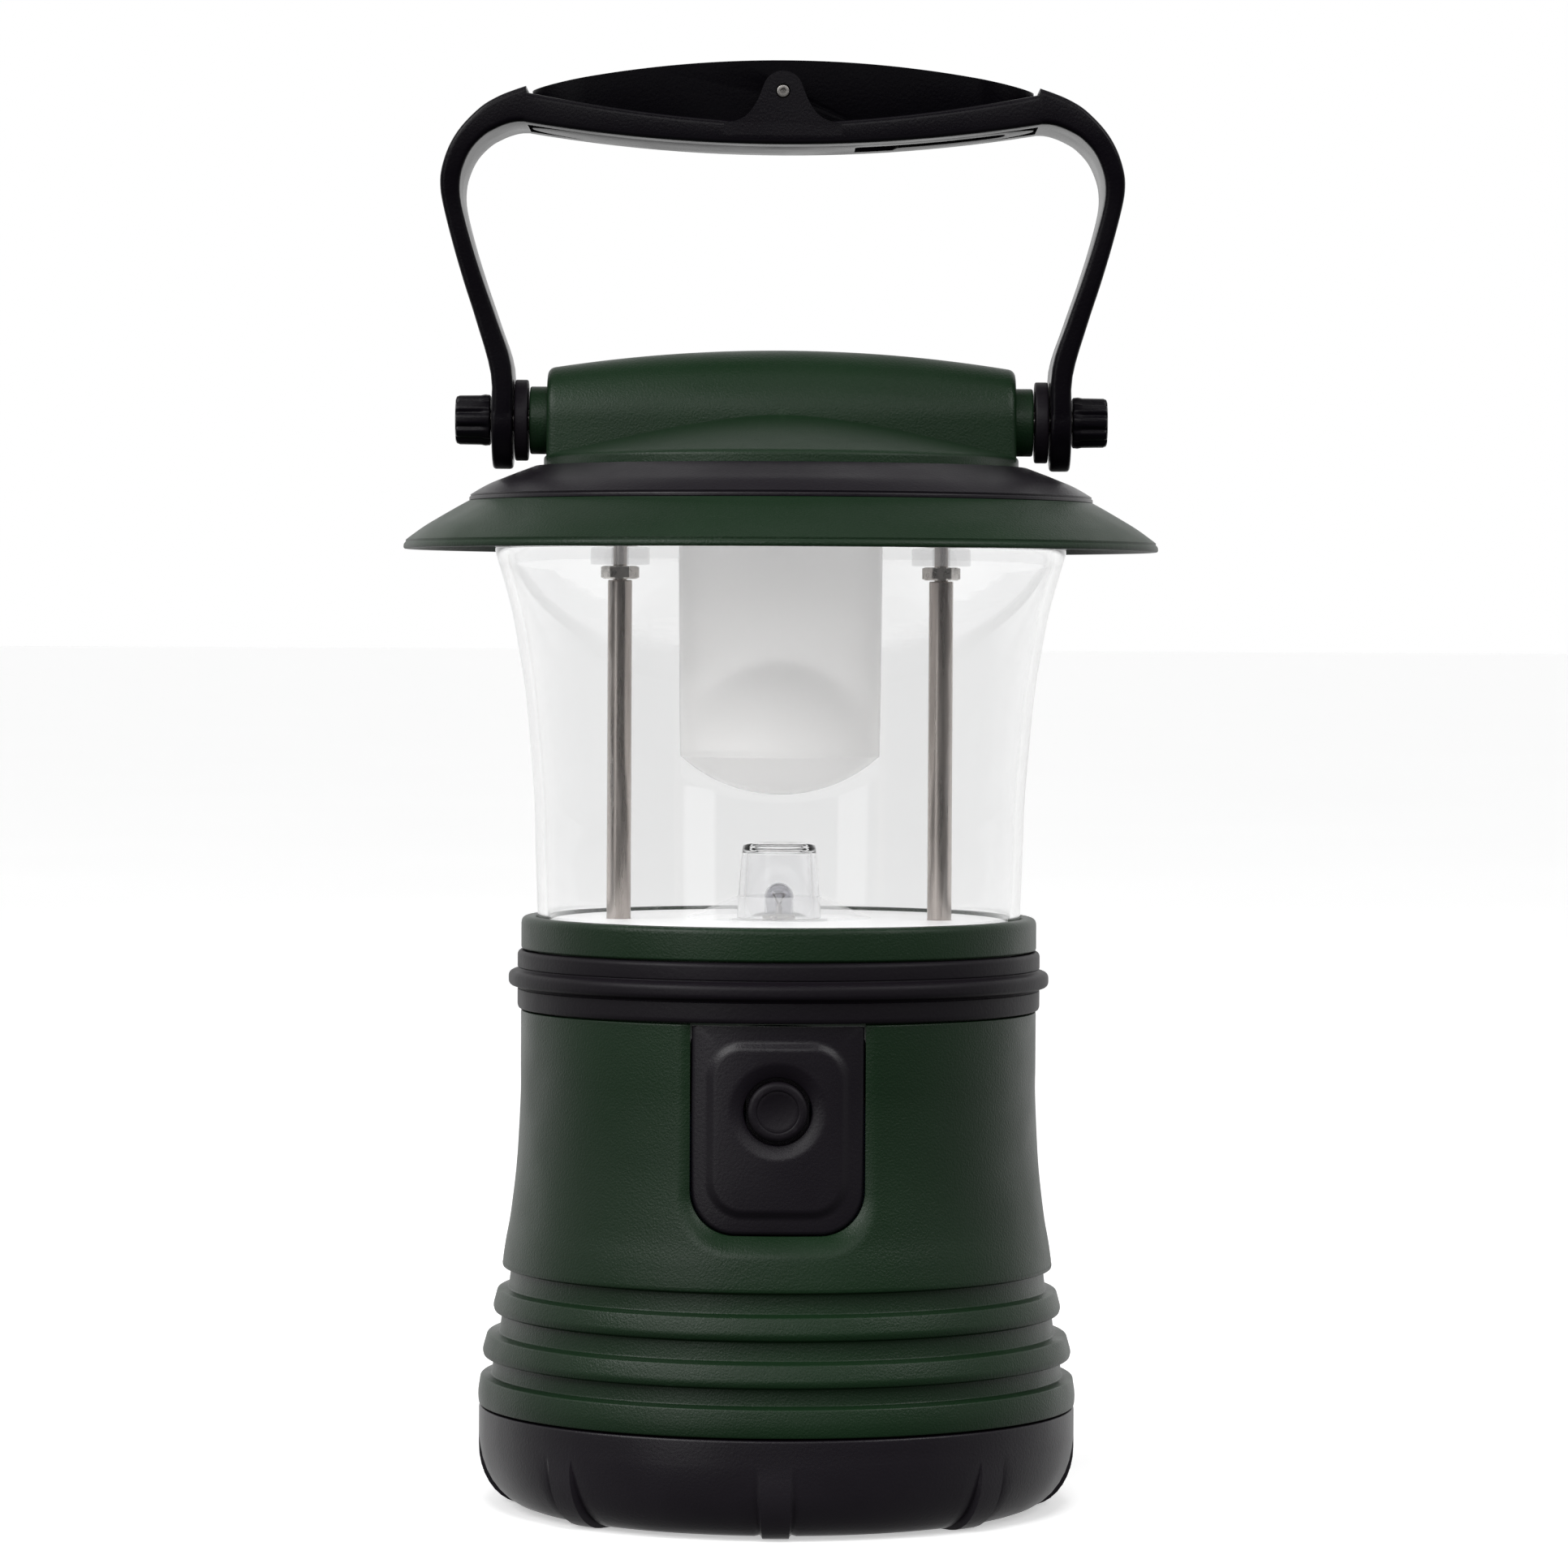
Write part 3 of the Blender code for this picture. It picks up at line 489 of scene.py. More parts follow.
CAP_R = 53.8
FEET = 8
FOOT_HALF = math.radians(2.8)
FOOT_EDGE = math.radians(0.35)
FOOT_TOP = 10.8
FOOT_ROUND = 8.1
POCKET_TOP = 12.8
POCKET_ROUND = 9.4
POCKET_FLOOR = 0.3
POCKET_DEPTH = 0.14
DITCH = math.radians(1.4)
DITCH_DEPTH = 0.34
DITCH_LIFT = 0.25
DITCH_STEPS = 4
POCKET_STEPS = 14
FLANK_STEPS = 9


def beyond_foot(angle):
    """Angle past the side of the nearest foot."""
    pitch = 2 * math.pi / FEET
    return abs((angle + math.pi / 2 + pitch / 2) % pitch - pitch / 2) - FOOT_HALF


def foot_mask(angle):
    """0 on a foot and 1 in the pocket beside it."""
    return min(1.0, max(0.0, beyond_foot(angle) / FOOT_EDGE))


def ditch(angle):
    """1 in the narrow hollow at the end of a pocket, fading to 0 along the pocket."""
    share = (beyond_foot(angle) - FOOT_EDGE) / DITCH
    return max(0.0, 1 - share) if share >= 0 else 0.0


def foot_angles():
    """Column angles that are dense at the sides of each foot."""
    pitch = 2 * math.pi / FEET
    marks = [-FOOT_HALF - FOOT_EDGE, -FOOT_HALF, -FOOT_HALF / 2, 0.0, FOOT_HALF / 2, FOOT_HALF]
    start = FOOT_HALF + FOOT_EDGE
    span = pitch - 2 * start
    ditch_marks = [DITCH * step / DITCH_STEPS for step in range(DITCH_STEPS)]
    marks += [start + mark for mark in ditch_marks]
    marks += [start + DITCH + (span - 2 * DITCH) * step / POCKET_STEPS for step in range(POCKET_STEPS)]
    marks += [start + span - DITCH + mark for mark in ditch_marks]
    return [-math.pi / 2 + pitch * foot + mark for foot in range(FEET) for mark in marks]


def make_base_cap():
    foot = []
    pocket = []
    for step in range(FLANK_STEPS + 1):
        turn = math.pi / 2 * step / FLANK_STEPS
        inward = 1 - math.cos(turn)
        down = math.sin(turn)
        foot.append((CAP_R - FOOT_ROUND * inward, FOOT_TOP * (1 - down)))
        pocket.append((CAP_R - POCKET_ROUND * inward, POCKET_TOP - (POCKET_TOP - POCKET_FLOOR) * down))
    foot += [(43.0, 0.0), (42.2, 1.0)]
    pocket += [(43.0, 0.6), (42.2, 1.0)]
    top = rounded([(46.8, 24.5, 0.5), (46.8, 18.3), (48.2, 18.1), (48.2, 17.0), (50.4, 17.0),
                   (50.4, 18.1), (CAP_R, 18.1, 0.5), (CAP_R, 13.8)])
    under = [(36.0, 1.0), (35.4, 1.5), (8.0, 1.5), (7.4, 1.0), (0, 1.0)]
    inside = [(0, 7.2), (2.6, 7.2), (2.6, 3.2), (44.0, 3.2), (47.0, 5.2), (50.0, 10.4),
              (44.9, 13.6), (44.9, 24.5)]
    profile = top[5:] + foot + under + inside + top[:5]
    first = len(top[5:])

    def warp(angle, radius, z, index):
        slot = index - first
        if 0 <= slot < len(foot):
            mask = foot_mask(angle)
            low = min(1.0, slot / 3)
            hollow = POCKET_DEPTH * min(1, slot) * mask + DITCH_DEPTH * low * ditch(angle)
            radius += (pocket[slot][0] - foot[slot][0]) * mask - hollow
            z += (pocket[slot][1] - foot[slot][1]) * mask + DITCH_LIFT * low * ditch(angle)
        return radius, z

    # CAP_BLACK carries painted floor-bounce light near the ground.
    place("base_cap_fine", revolve(profile, foot_angles(), warp), CAP_BLACK,
          "base_cap", ["base_cap"], sharp=38)


# ---------------------------------------------------------------- housing

PANEL_HALF = 15.05
PANEL_LOW = 52.9
PANEL_TOP = 89.1
PANEL_CORNER = 7.6
PANEL_R = 45.8
PANEL_GAP = 0.25
SCOOP_SIDE = 2.6
SCOOP_LOW = 3.9
SCOOP_R = 45.5
FRONT_STEP = math.radians(0.5)
FRONT_STEPS = 50
BACK_STEPS = 110


def outline_distance(x, z, half, low, top, corner, top_corner=0.2):
    """Signed distance to a plate outline with round lower corners."""
    centre = (low + top) / 2
    reach = corner if z < centre else top_corner
    dx = abs(x) - half + reach
    dz = abs(z - centre) - (top - low) / 2 + reach
    outside = math.hypot(max(dx, 0.0), max(dz, 0.0))
    return outside + min(max(dx, dz), 0.0) - reach


def scoop(angle, radius, z, index):
    """Hollow the housing softly round the switch panel."""
    # Only the outer skin above the ribs and at the front is drawn in.
    if radius < 46.0 or z < 45.0 or math.sin(angle) > -0.7:
        return radius, z
    x = radius * math.cos(angle)
    away = outline_distance(x, z, PANEL_HALF, PANEL_LOW, 120.0, PANEL_CORNER)
    below = max(0.0, min(1.0, (PANEL_LOW + PANEL_CORNER - z) / PANEL_CORNER))
    width = SCOOP_SIDE + (SCOOP_LOW - SCOOP_SIDE) * below
    share = max(0.0, min(1.0, away / width))
    ease = 1 - (1 - share) ** 2
    return min(radius, SCOOP_R + (radius - SCOOP_R) * ease), z


def make_housing():
    ribs = rounded([
        (47.6, 18.4), (53.85, 18.4, 0.35), (54.0, 20.4, 1.0), (53.55, 23.4, 0.35), (51.5, 23.7, 0.3),
        (51.2, 26.7, 0.2), (52.95, 27.0, 0.3), (53.2, 28.0, 0.5), (52.35, 31.0, 0.35),
        (50.1, 31.3, 0.3), (49.7, 34.7, 0.2), (51.0, 35.0, 0.3), (51.3, 36.0, 0.5),
        (50.5, 39.0, 0.35), (48.5, 39.3, 0.3), (48.1, 42.8, 0.2), (49.6, 43.1, 0.3),
        (49.65, 44.0, 0.4),
    ])
    flare = spline([(49.5, 44.9), (49.05, 47.9), (48.4, 51.4), (47.9, 55.0), (47.3, 60.2),
                    (46.9, 65.5), (46.5, 74.4), (46.5, 80.0), (46.5, 88.9)], 9)
    top = rounded([(46.5, 89.4, 0.3), (44.8, 89.4), (44.8, 100.5), (42.8, 100.5), (42.8, 86.0),
                   (9.0, 86.0), (9.0, 84.0), (44.3, 84.0), (44.3, 44.0), (45.2, 30.0),
                   (45.2, 26.0), (47.6, 25.2)])
    profile = ribs + flare + top
    # Columns are dense round the panel, where the scoop needs them, and wider behind.
    front = [-math.pi / 2 + FRONT_STEP * step for step in range(-FRONT_STEPS, FRONT_STEPS + 1)]
    behind = 2 * math.pi - 2 * FRONT_STEP * FRONT_STEPS
    back = [front[-1] + behind * step / BACK_STEPS for step in range(1, BACK_STEPS)]
    bm = revolve(profile, front + back, scoop)
    housing = place("housing_fine", bm, GREEN, "lantern", ["housing"])
    window = plate_loop(PANEL_HALF + PANEL_GAP, PANEL_LOW - PANEL_GAP, 89.7,
                        PANEL_CORNER + PANEL_GAP)
    cutter = loose("window_cutter", extrude(window, -60, -30))
    carve(housing, [("DIFFERENCE", cutter)])


# ---------------------------------------------------------------- switch

BUTTON_Z = 74.4
PAD_HALF = 12.6
PAD_LOW = 55.6
PAD_TOP = 86.6
PAD_CORNER = 6.6
PAD_RISE = 0.7


def plate_angles(half, top):
    """Even ray angles, with the two upper corners hit exactly."""
    rays = [2 * math.pi * (step + 0.5) / 160 for step in range(160)]
    rise = top - BUTTON_Z
    rays += [math.atan2(rise, half), math.atan2(rise, -half)]
    return sorted(rays)


def plate_loop(half, low, top, corner, rays=None, top_corner=0.2):
    """Outline of a plate as points seen from the button centre."""
    loop = []
    for ray in rays or plate_angles(half, top):
        near, far = 0.0, 60.0
        for _ in range(26):
            middle = (near + far) / 2
            x = middle * math.cos(ray)
            z = BUTTON_Z + middle * math.sin(ray)
            inside = outline_distance(x, z, half, low, top, corner, top_corner) < 0
            near, far = (middle, far) if inside else (near, middle)
        loop.append((near * math.cos(ray), BUTTON_Z + near * math.sin(ray)))
    return loop


def on_panel(loop, level):
    """Wrap a flat loop onto the panel's curved face."""
    radius = PANEL_R + level
    return [(x, -math.sqrt(radius * radius - x * x), z) for x, z in loop]


def make_switch_panel():
    rays = plate_angles(PANEL_HALF, PANEL_TOP)

    def circle(radius):
        return [(radius * math.cos(a), BUTTON_Z + radius * math.sin(a)) for a in rays]

    def pad(inset):
        return plate_loop(PAD_HALF - inset, PAD_LOW + inset, PAD_TOP - inset,
                          PAD_CORNER - inset, rays, PAD_CORNER - inset)

    def edge(inset):
        return plate_loop(PANEL_HALF - inset, PANEL_LOW + inset, PANEL_TOP, PANEL_CORNER - inset,
                          rays)

    rings = [
        on_panel(circle(5.95), -2.3), on_panel(circle(5.95), -0.15), on_panel(circle(6.1), 0.0),
        on_panel(circle(8.1), PAD_RISE - 0.1), on_panel(circle(8.35), PAD_RISE - 0.02),
        on_panel(circle(8.8), PAD_RISE), on_panel(circle(9.6), PAD_RISE),
        on_panel(pad(1.9), PAD_RISE), on_panel(pad(1.45), PAD_RISE - 0.03),
        on_panel(pad(1.1), PAD_RISE - 0.18), on_panel(pad(0.5), 0.16), on_panel(pad(0.15), 0.03),
        on_panel(pad(-0.3), 0.0), on_panel(edge(0.7), 0.0), on_panel(edge(0.25), -0.08),
        on_panel(edge(0.02), -0.35), on_panel(edge(0.0), -2.3),
    ]
    place("switch_panel_fine", skin(rings, closed=True), BLACK, "lantern",
          ["switch_panel"], sharp=50)


def make_button():
    dish = [(3.4 * step / 8, 0.75 - 0.5 * (step / 8) ** 2) for step in range(9)]
    rim = rounded([(3.6, 0.15, 0.2), (3.9, 0.0, 0.3), (4.7, 0.0, 0.5), (5.2, 0.45, 0.4), (5.2, 3.0)])
    profile = [(0, 3.0)] + dish + rim
    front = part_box("switch_button")[0].y / MM
    bm = aim(revolve(profile, even_angles(72)), (0, front, BUTTON_Z), (0, 1, 0))
    place("switch_button_fine", bm, RUBBER, "switch_button", ["switch_button"])


# ---------------------------------------------------------------- lamp chamber

def turned(name, profile, material, slot, nodes, count=FINE, sharp=CREASE):
    """Turned piece of the lantern body. Clear and frosted ones let the light pass."""
    bm = revolve(profile, even_angles(count))
    piece = place(name, bm, material, "lantern", nodes, sharp)
    if slot in ("clear_plastic", "frosted_plastic"):
        piece.visible_shadow = False
    return piece


def make_band_and_collar():
    band = rounded([
        (45.1, 89.7), (46.9, 89.7, 0.3), (47.15, 90.3, 0.4), (47.15, 93.2, 0.2), (46.95, 93.35, 0.1),
        (47.2, 93.6, 0.4), (48.75, 94.0, 1.0), (48.75, 96.3, 1.0), (47.2, 96.8, 0.4),
        (46.95, 97.05, 0.1), (47.15, 97.2, 0.2), (47.15, 99.7, 0.4), (46.7, 100.2, 0.3), (45.1, 100.2),
    ])
    turned("bumper_band_fine", band, RUBBER, "black_rubber", ["bumper_band"])
    collar = rounded([
        (36.0, 100.8), (45.1, 100.8), (45.1, 100.45), (46.3, 100.45, 0.1), (46.5, 100.7, 0.2),
        (46.5, 106.3, 1.6), (43.9, 106.3, 0.4), (43.9, 102.2), (36.0, 102.2),
    ], 6)
    turned("neck_collar_fine", collar, GREEN, "green_plastic", ["neck_collar"])


GLOBE_OUTER = [(43.6, 106.6), (44.0, 117.3), (44.3, 127.1), (45.2, 138.4), (46.1, 147.3),
               (47.2, 154.3), (48.6, 161.8), (50.8, 169.6)]
GLOBE_WALL = 1.8


def make_globe():
    outer = [(43.6, 102.6)] + spline(GLOBE_OUTER, 5)
    inner = [(radius - GLOBE_WALL, z) for radius, z in reversed(outer)]
    lip = rounded([(51.3, 171.2), (51.6, 172.8, 0.2), (49.6, 172.8, 0.3)])
    turned("globe_fine", outer + lip + inner, CLEAR, "clear_plastic", ["globe"], sharp=45)


def make_reflector():
    plate = rounded([(9.2, 104.6), (38.0, 104.6), (38.0, 102.6), (41.4, 102.6), (41.4, 105.8, 0.3),
                     (11.2, 105.8, 0.1), (11.0, 105.5, 0.1), (9.2, 105.5)])
    # The plate's glow is painted light.
    piece = turned("reflector_plate_fine", plate, PLATE, "white_plastic", ["reflector_plate"])
    hole = cylinder(2.5, 100, 108)
    carve(piece, [("DIFFERENCE", loose("rod_hole", on_rod(hole, 32, side))) for side in (-1, 1)])


BULB_ARC_Z = 109.75


def quarter_arc(radius, centre, steps):
    """Profile of a round dome, from its rim up to the axis."""
    turns = [math.pi / 2 * step / steps for step in range(steps)]
    arc = [(radius * math.cos(turn), centre + radius * math.sin(turn)) for turn in turns]
    return arc + [(0, centre + radius)]


def make_bulb():
    cup = rounded([
        (6.3, 106.1), (7.6, 106.1, 0.2), (7.35, 110.1, 0.5), (6.75, 117.4, 1.0), (6.5, 119.6, 1.1),
        (4.6, 119.6, 1.2), (0, 119.2), (0, 118.3), (4.6, 118.6, 0.6), (5.6, 118.0, 0.8),
    ], 6)
    turned("bulb_guard_fine", cup, CLEAR_SMALL, "clear_plastic", ["bulb_guard"], count=72)
    skirt = rounded([(7.7, 110.0), (7.7, 109.3), (15.9, 106.1), (16.8, 106.1, 0.2)])
    turned("bulb_guard_skirt", skirt, SKIRT, "clear_plastic", ["bulb_guard"], count=72)
    outside = quarter_arc(2.65, BULB_ARC_Z, 8)
    inside = quarter_arc(2.25, BULB_ARC_Z, 8)
    envelope = [(2.65, 106.9)] + outside + inside[::-1] + [(2.25, 106.9)]
    turned("bulb_envelope_fine", envelope, GLASS, "clear_plastic", ["bulb_envelope"], count=48)
    base = rounded([(0, 89), (1.6, 89), (2.2, 90.5), (4.5, 92), (4.5, 103.4), (4.9, 103.4, 0.2),
                    (4.9, 104.4, 0.3), (3.0, 105.2, 0.4), (3.0, 106.6, 0.3), (0, 106.6)])
    turned("bulb_base_fine", base, STEEL, "brass", ["bulb_base"], count=48)
    bm = revolve([(0, 106.8), (0.7, 106.8), (0.5, 108.2), (0.18, 108.6), (0, 108.6)], even_angles(16))
    for side in (-1, 1):
        support = revolve(cylinder(0.2, 0, 2.3), even_angles(8))
        add_part(bm, aim(support, (0, 0, 108.4), (side * 0.55, 0, 1)))
    coil = []
    coil_turns = 6
    for step in range(41):
        share = step / 40
        turn = 2 * math.pi * coil_turns * share
        coil.append((-1.0 + 2.0 * share, 0.16 * math.cos(turn), 110.35 + 0.16 * math.sin(turn)))
    add_part(bm, tube(coil, 0.06, 6))
    place("bulb_filament_fine", bm, STEEL, "lantern", ["bulb_filament"])


def make_rods():
    rod = rounded([(0, 99.2), (1.25, 99.2), (1.25, 104.3), (2.2, 104.3, 0.2), (2.2, 167.0, 0.3),
                   (1.25, 167.0), (1.25, 171.2), (0, 171.2)])
    for side, label in SIDES:
        place("rod_%s_fine" % label, on_rod(rod, 40, side), NICKEL, "lantern",
              ["rod_" + label])
        for level, kind in ((167.2, "top"), (99.4, "base")):
            name = "rod_%s_nut_%s" % (kind, label)
            place(name + "_fine", hex_nut(side * ROD_X, level), STEEL, "lantern",
                  [name], sharp=20)


NUT_CORNER = 3.45


def hex_nut(x, low):
    """Hex nut with turned chamfers on both faces."""
    flat = NUT_CORNER * math.cos(math.pi / 6)
    rings = []
    angles = even_angles(72)
    steps = ((1.5, 0.0), (2.95, 0.0), (NUT_CORNER, 0.28), (NUT_CORNER, 2.32), (2.95, 2.6), (1.5, 2.6))
    for radius_limit, z in steps:
        ring = []
        for angle in angles:
            wedge = angle % (math.pi / 3) - math.pi / 6
            radius = min(radius_limit, flat / math.cos(wedge))
            ring.append((x + radius * math.cos(angle), radius * math.sin(angle), low + z))
        rings.append(ring)
    return skin(rings, closed=True)


DIFFUSER_END_R = 26.7
DOME_Z = 136.2


def make_diffuser():
    outside = []
    inside = []
    for step in range(11):
        radius = 18.0 * step / 10
        sag = DIFFUSER_END_R - math.sqrt(DIFFUSER_END_R ** 2 - radius ** 2)
        outside.append((radius, 128.3 + sag))
        inside.append((radius * 0.935, 129.5 + sag))
    profile = outside + [(18.15, 142.0), (18.4, 172.6), (17.2, 172.6), (16.95, 142.0)] + inside[::-1]
    # The diffuser's faint glow is painted light.
    turned("diffuser_fine", profile, FROSTED, "frosted_plastic", ["diffuser"], sharp=40)
    outer = []
    inner = []
    for step in range(17):
        turn = math.pi / 2 * step / 16
        outer.append((16.3 * math.sin(turn), DOME_Z + 16.2 * math.cos(turn)))
        inner.append((15.3 * math.sin(turn), DOME_Z + 15.2 * math.cos(turn)))
    outer[0] = (0, outer[0][1])
    inner[0] = (0, inner[0][1])
    turned("diffuser_dome_fine", inner[::-1] + outer, DOME, "white_plastic", ["diffuser_dome"])


# ---------------------------------------------------------------- hood

def make_hood():
    slope = spline([(56.3, 181.0), (58.3, 179.9), (61.4, 178.1), (64.2, 176.4), (66.7, 174.6),
                    (67.6, 173.9)], 4)
    brim = slope + rounded([(68.0, 173.3, 0.5), (68.0, 172.3, 0.4), (66.9, 172.3, 0.3), (66.3, 173.2),
                            (61.9, 176.2), (58.0, 178.3), (55.5, 178.9), (44.0, 178.9), (44.0, 180.7),
                            (56.0, 180.7)])
    turned("hood_brim_fine", brim, GREEN, "green_plastic", ["hood_brim"])
    crown = spline([(56.0, 182.1), (54.2, 183.2), (52.3, 184.2), (50.1, 185.1), (47.6, 186.1),
                    (44.4, 187.3)], 4)
    ring = rounded([(43.2, 181.0), (56.2, 181.0, 0.2), (56.2, 181.8, 0.3)]) + crown
    ring += rounded([(43.6, 187.3, 0.3), (43.2, 186.6)])
    turned("hood_ring_fine", ring, BLACK, "black_plastic", ["hood_ring"])
    liner = [(0, 173.2), (55.2, 173.2), (55.4, 173.4), (55.4, 178.4), (54.4, 178.4), (54.4, 174.2),
             (0, 174.2)]
    turned("hood_liner_fine", liner, SILVER, "silvered_plastic", ["hood_liner"])
    boss = rounded([(1.6, 170.1), (5.35, 170.1, 0.4), (5.35, 171.7, 0.3), (2.6, 171.8), (2.6, 173.1),
                    (1.6, 173.1)])
    for side, label in SIDES:
        # The bosses take the skirt's faint glow, which is painted light.
        place("liner_boss_" + label, on_rod(boss, 48, side), SKIRT, "lantern",
              ["hood_liner"])


BARREL_HALF = 42.1


def barrel_radius(x):
    return 12.8 - 3.4 * (x / BARREL_HALF) ** 2


def barrel_rings(half, shrink, foot, corner):
    """Cross-sections of the barrel, drawn in at both ends to round its corners."""
    stops = [half * (step / 20 - 1) for step in range(1, 40)]
    ends = []
    for step in range(6):
        turn = math.pi / 2 * step / 5
        ends.append((half - corner * (1 - math.sin(turn)), corner * (1 - math.cos(turn))))
    marks = [(-x, inset) for x, inset in reversed(ends)]
    marks += [(x, 0.0) for x in stops if abs(x) < half - corner - 0.5]
    marks += ends
    rings = []
    for x, inset in marks:
        radius = barrel_radius(x) - shrink - inset
        ring = [(x, -radius, foot)]
        for step in range(33):
            angle = math.pi * (1 - step / 32)
            ring.append((x, radius * math.cos(angle), PIVOT_Z + radius * math.sin(angle)))
        ring.append((x, radius, foot))
        rings.append(ring)
    return rings


def make_saddle():
    dome = rounded([
        (0, 198.6), (12.8, 196.4), (26.0, 193.4), (42.0, 189.5, 0.5), (42.8, 188.9, 0.4),
        (42.8, 184.0), (41.0, 184.0), (41.0, 187.2), (12.8, 194.2), (0, 196.6),
    ])
    piece = turned("hood_saddle_fine", dome, GREEN, "green_plastic", ["hood_saddle"])
    steps = [("UNION", loose("barrel", skin(barrel_rings(BARREL_HALF, 0.0, 188.2, 1.2)))),
             ("DIFFERENCE", loose("hollow", skin(barrel_rings(37.6, 2.0, 182.0, 0.4))))]
    stub = rounded([(0, 38.5), (6.1, 38.5), (6.1, 45.3, 0.4), (0, 45.3)])
    for side in (-1, 1):
        steps.append(("UNION", loose("stub", on_pivot(stub, 48, side))))
        bore = on_pivot(cylinder(PIVOT_BORE, 36, 47), 24, side)
        steps.append(("DIFFERENCE", loose("bore", bore)))
    carve(piece, steps)


# ---------------------------------------------------------------- bail

ARM_HALF = 8.7
GRIP_HALF = 14.0
SLOT_REACH = 45.7
SLOT_HALF = 8.3
HOOK_HALF = 8.26
HOOK_REACH = 45.1
EDGE_ROUND = 1.1


def through_grip(outline):
    """Prism of an outline seen from above, from well below the grip to well above it."""
    return extrude(outline, PIVOT_Z + 40, PIVOT_Z + 75, "XY")


def rail_top(x):
    return 52.8 + 4.9 * (abs(x) / 44.5) ** 1.7


def rail_under(x):
    return 48.85 + 3.85 * (abs(x) / 46.5) ** 2


def bail_ring(outer, inner, half):
    """Rounded rectangular section between the outer and inner edges of the bail."""
    a = Vector(outer)
    b = Vector(inner)
    thick = (b - a).length
    inward = (b - a).normalized()
    radius = min(EDGE_ROUND, thick * 0.3)
    corners = [(-half, 0.0), (half, 0.0), (half, thick), (-half, thick)]
    loop = rounded([(y, depth, radius) for y, depth in corners], 5)
    ring = []
    for y, depth in loop:
        spot = a + inward * depth
        ring.append((spot.x, y, PIVOT_Z + spot.y))
    return ring


def make_bail():
    outer = spline([(52.0, 0.0), (52.1, 8.0), (54.7, 17.4), (56.9, 24.3), (58.9, 31.2), (60.6, 38.0),
                    (61.1, 41.6), (60.8, 44.6), (59.5, 48.4), (57.3, 51.9), (53.9, 55.3),
                    (51.0, 57.1), (48.4, 58.2), (45.8, 59.1)], 4)
    inner = spline([(48.3, 0.0), (48.4, 9.5), (50.9, 17.4), (53.3, 24.3), (55.5, 31.2), (57.3, 38.2),
                    (57.5, 42.1), (56.8, 45.1), (55.4, 47.9), (53.2, 50.2), (51.2, 51.4),
                    (49.3, 52.2), (47.6, 52.6), (46.1, 52.65)], 4)
    count = len(outer)
    # The arms widen smoothly to the grip's depth over three quarters of their length.
    half = []
    for step in range(count):
        share = min(1.0, step / (count * 0.75))
        half.append(ARM_HALF + (GRIP_HALF - ARM_HALF) * math.sin(math.pi / 2 * share))
    side = list(zip(outer, inner, half))
    rings = [bail_ring(*station) for station in side]
    for step in range(25):
        x = 45.6 * (1 - step / 12)
        rings.append(bail_ring((x, rail_top(x)), (x, rail_under(x)), GRIP_HALF))
    for station in reversed(side):
        rings.append([(-x, y, z) for x, y, z in bail_ring(*station)])
    piece = place("bail_fine", skin(rings), GRIP_BLACK, "bail", ["bail"])
    steps = []
    eye = rounded([(0, 48.3), (EYE_R, 48.3, 0.7), (EYE_R, 52.0, 0.7), (0, 52.0)])
    for sign in (-1, 1):
        steps.append(("UNION", loose("eye", on_pivot(eye, 72, sign))))
        low, high = sorted((sign * GRIP_HALF, sign * (SLOT_HALF - 0.1)))
        steps.append(("UNION", loose("lug", extrude(lug_outline(), low + 0.02 * sign, high))))
    slot = [(-SLOT_REACH, -SLOT_HALF), (SLOT_REACH, -SLOT_HALF),
            (SLOT_REACH, SLOT_HALF), (-SLOT_REACH, SLOT_HALF)]
    steps.append(("DIFFERENCE", loose("slot", through_grip(slot))))
    for sign in (-1, 1):
        bore = on_pivot(cylinder(PIVOT_BORE, 46, 54), 32, sign)
        steps.append(("DIFFERENCE", loose("bore", bore)))
    steps.append(("DIFFERENCE", loose("pin_bore", on_pin(cylinder(1.3, -20, 20)))))
    carve(piece, steps)


LUG_R = 3.6
LUG_FOOT = 10.5


def lug_outline():
    """Ear round the hook pin, with hollow flanks."""
    top = []
    for step in range(17):
        angle = math.radians(20 + 140 * step / 16)
        top.append((LUG_R * math.cos(angle), PIN_H + LUG_R * math.sin(angle)))
    flank = spline([top[-1], (-4.7, 56.4), (-6.3, 54.2), (-8.2, 53.1), (-LUG_FOOT, 52.7)], 5)[1:]
    outline = top + flank + [(-LUG_FOOT, 50.5), (LUG_FOOT, 50.5)]
    outline += [(-x, h) for x, h in reversed(flank)]
    return [(x, PIVOT_Z + h) for x, h in outline]


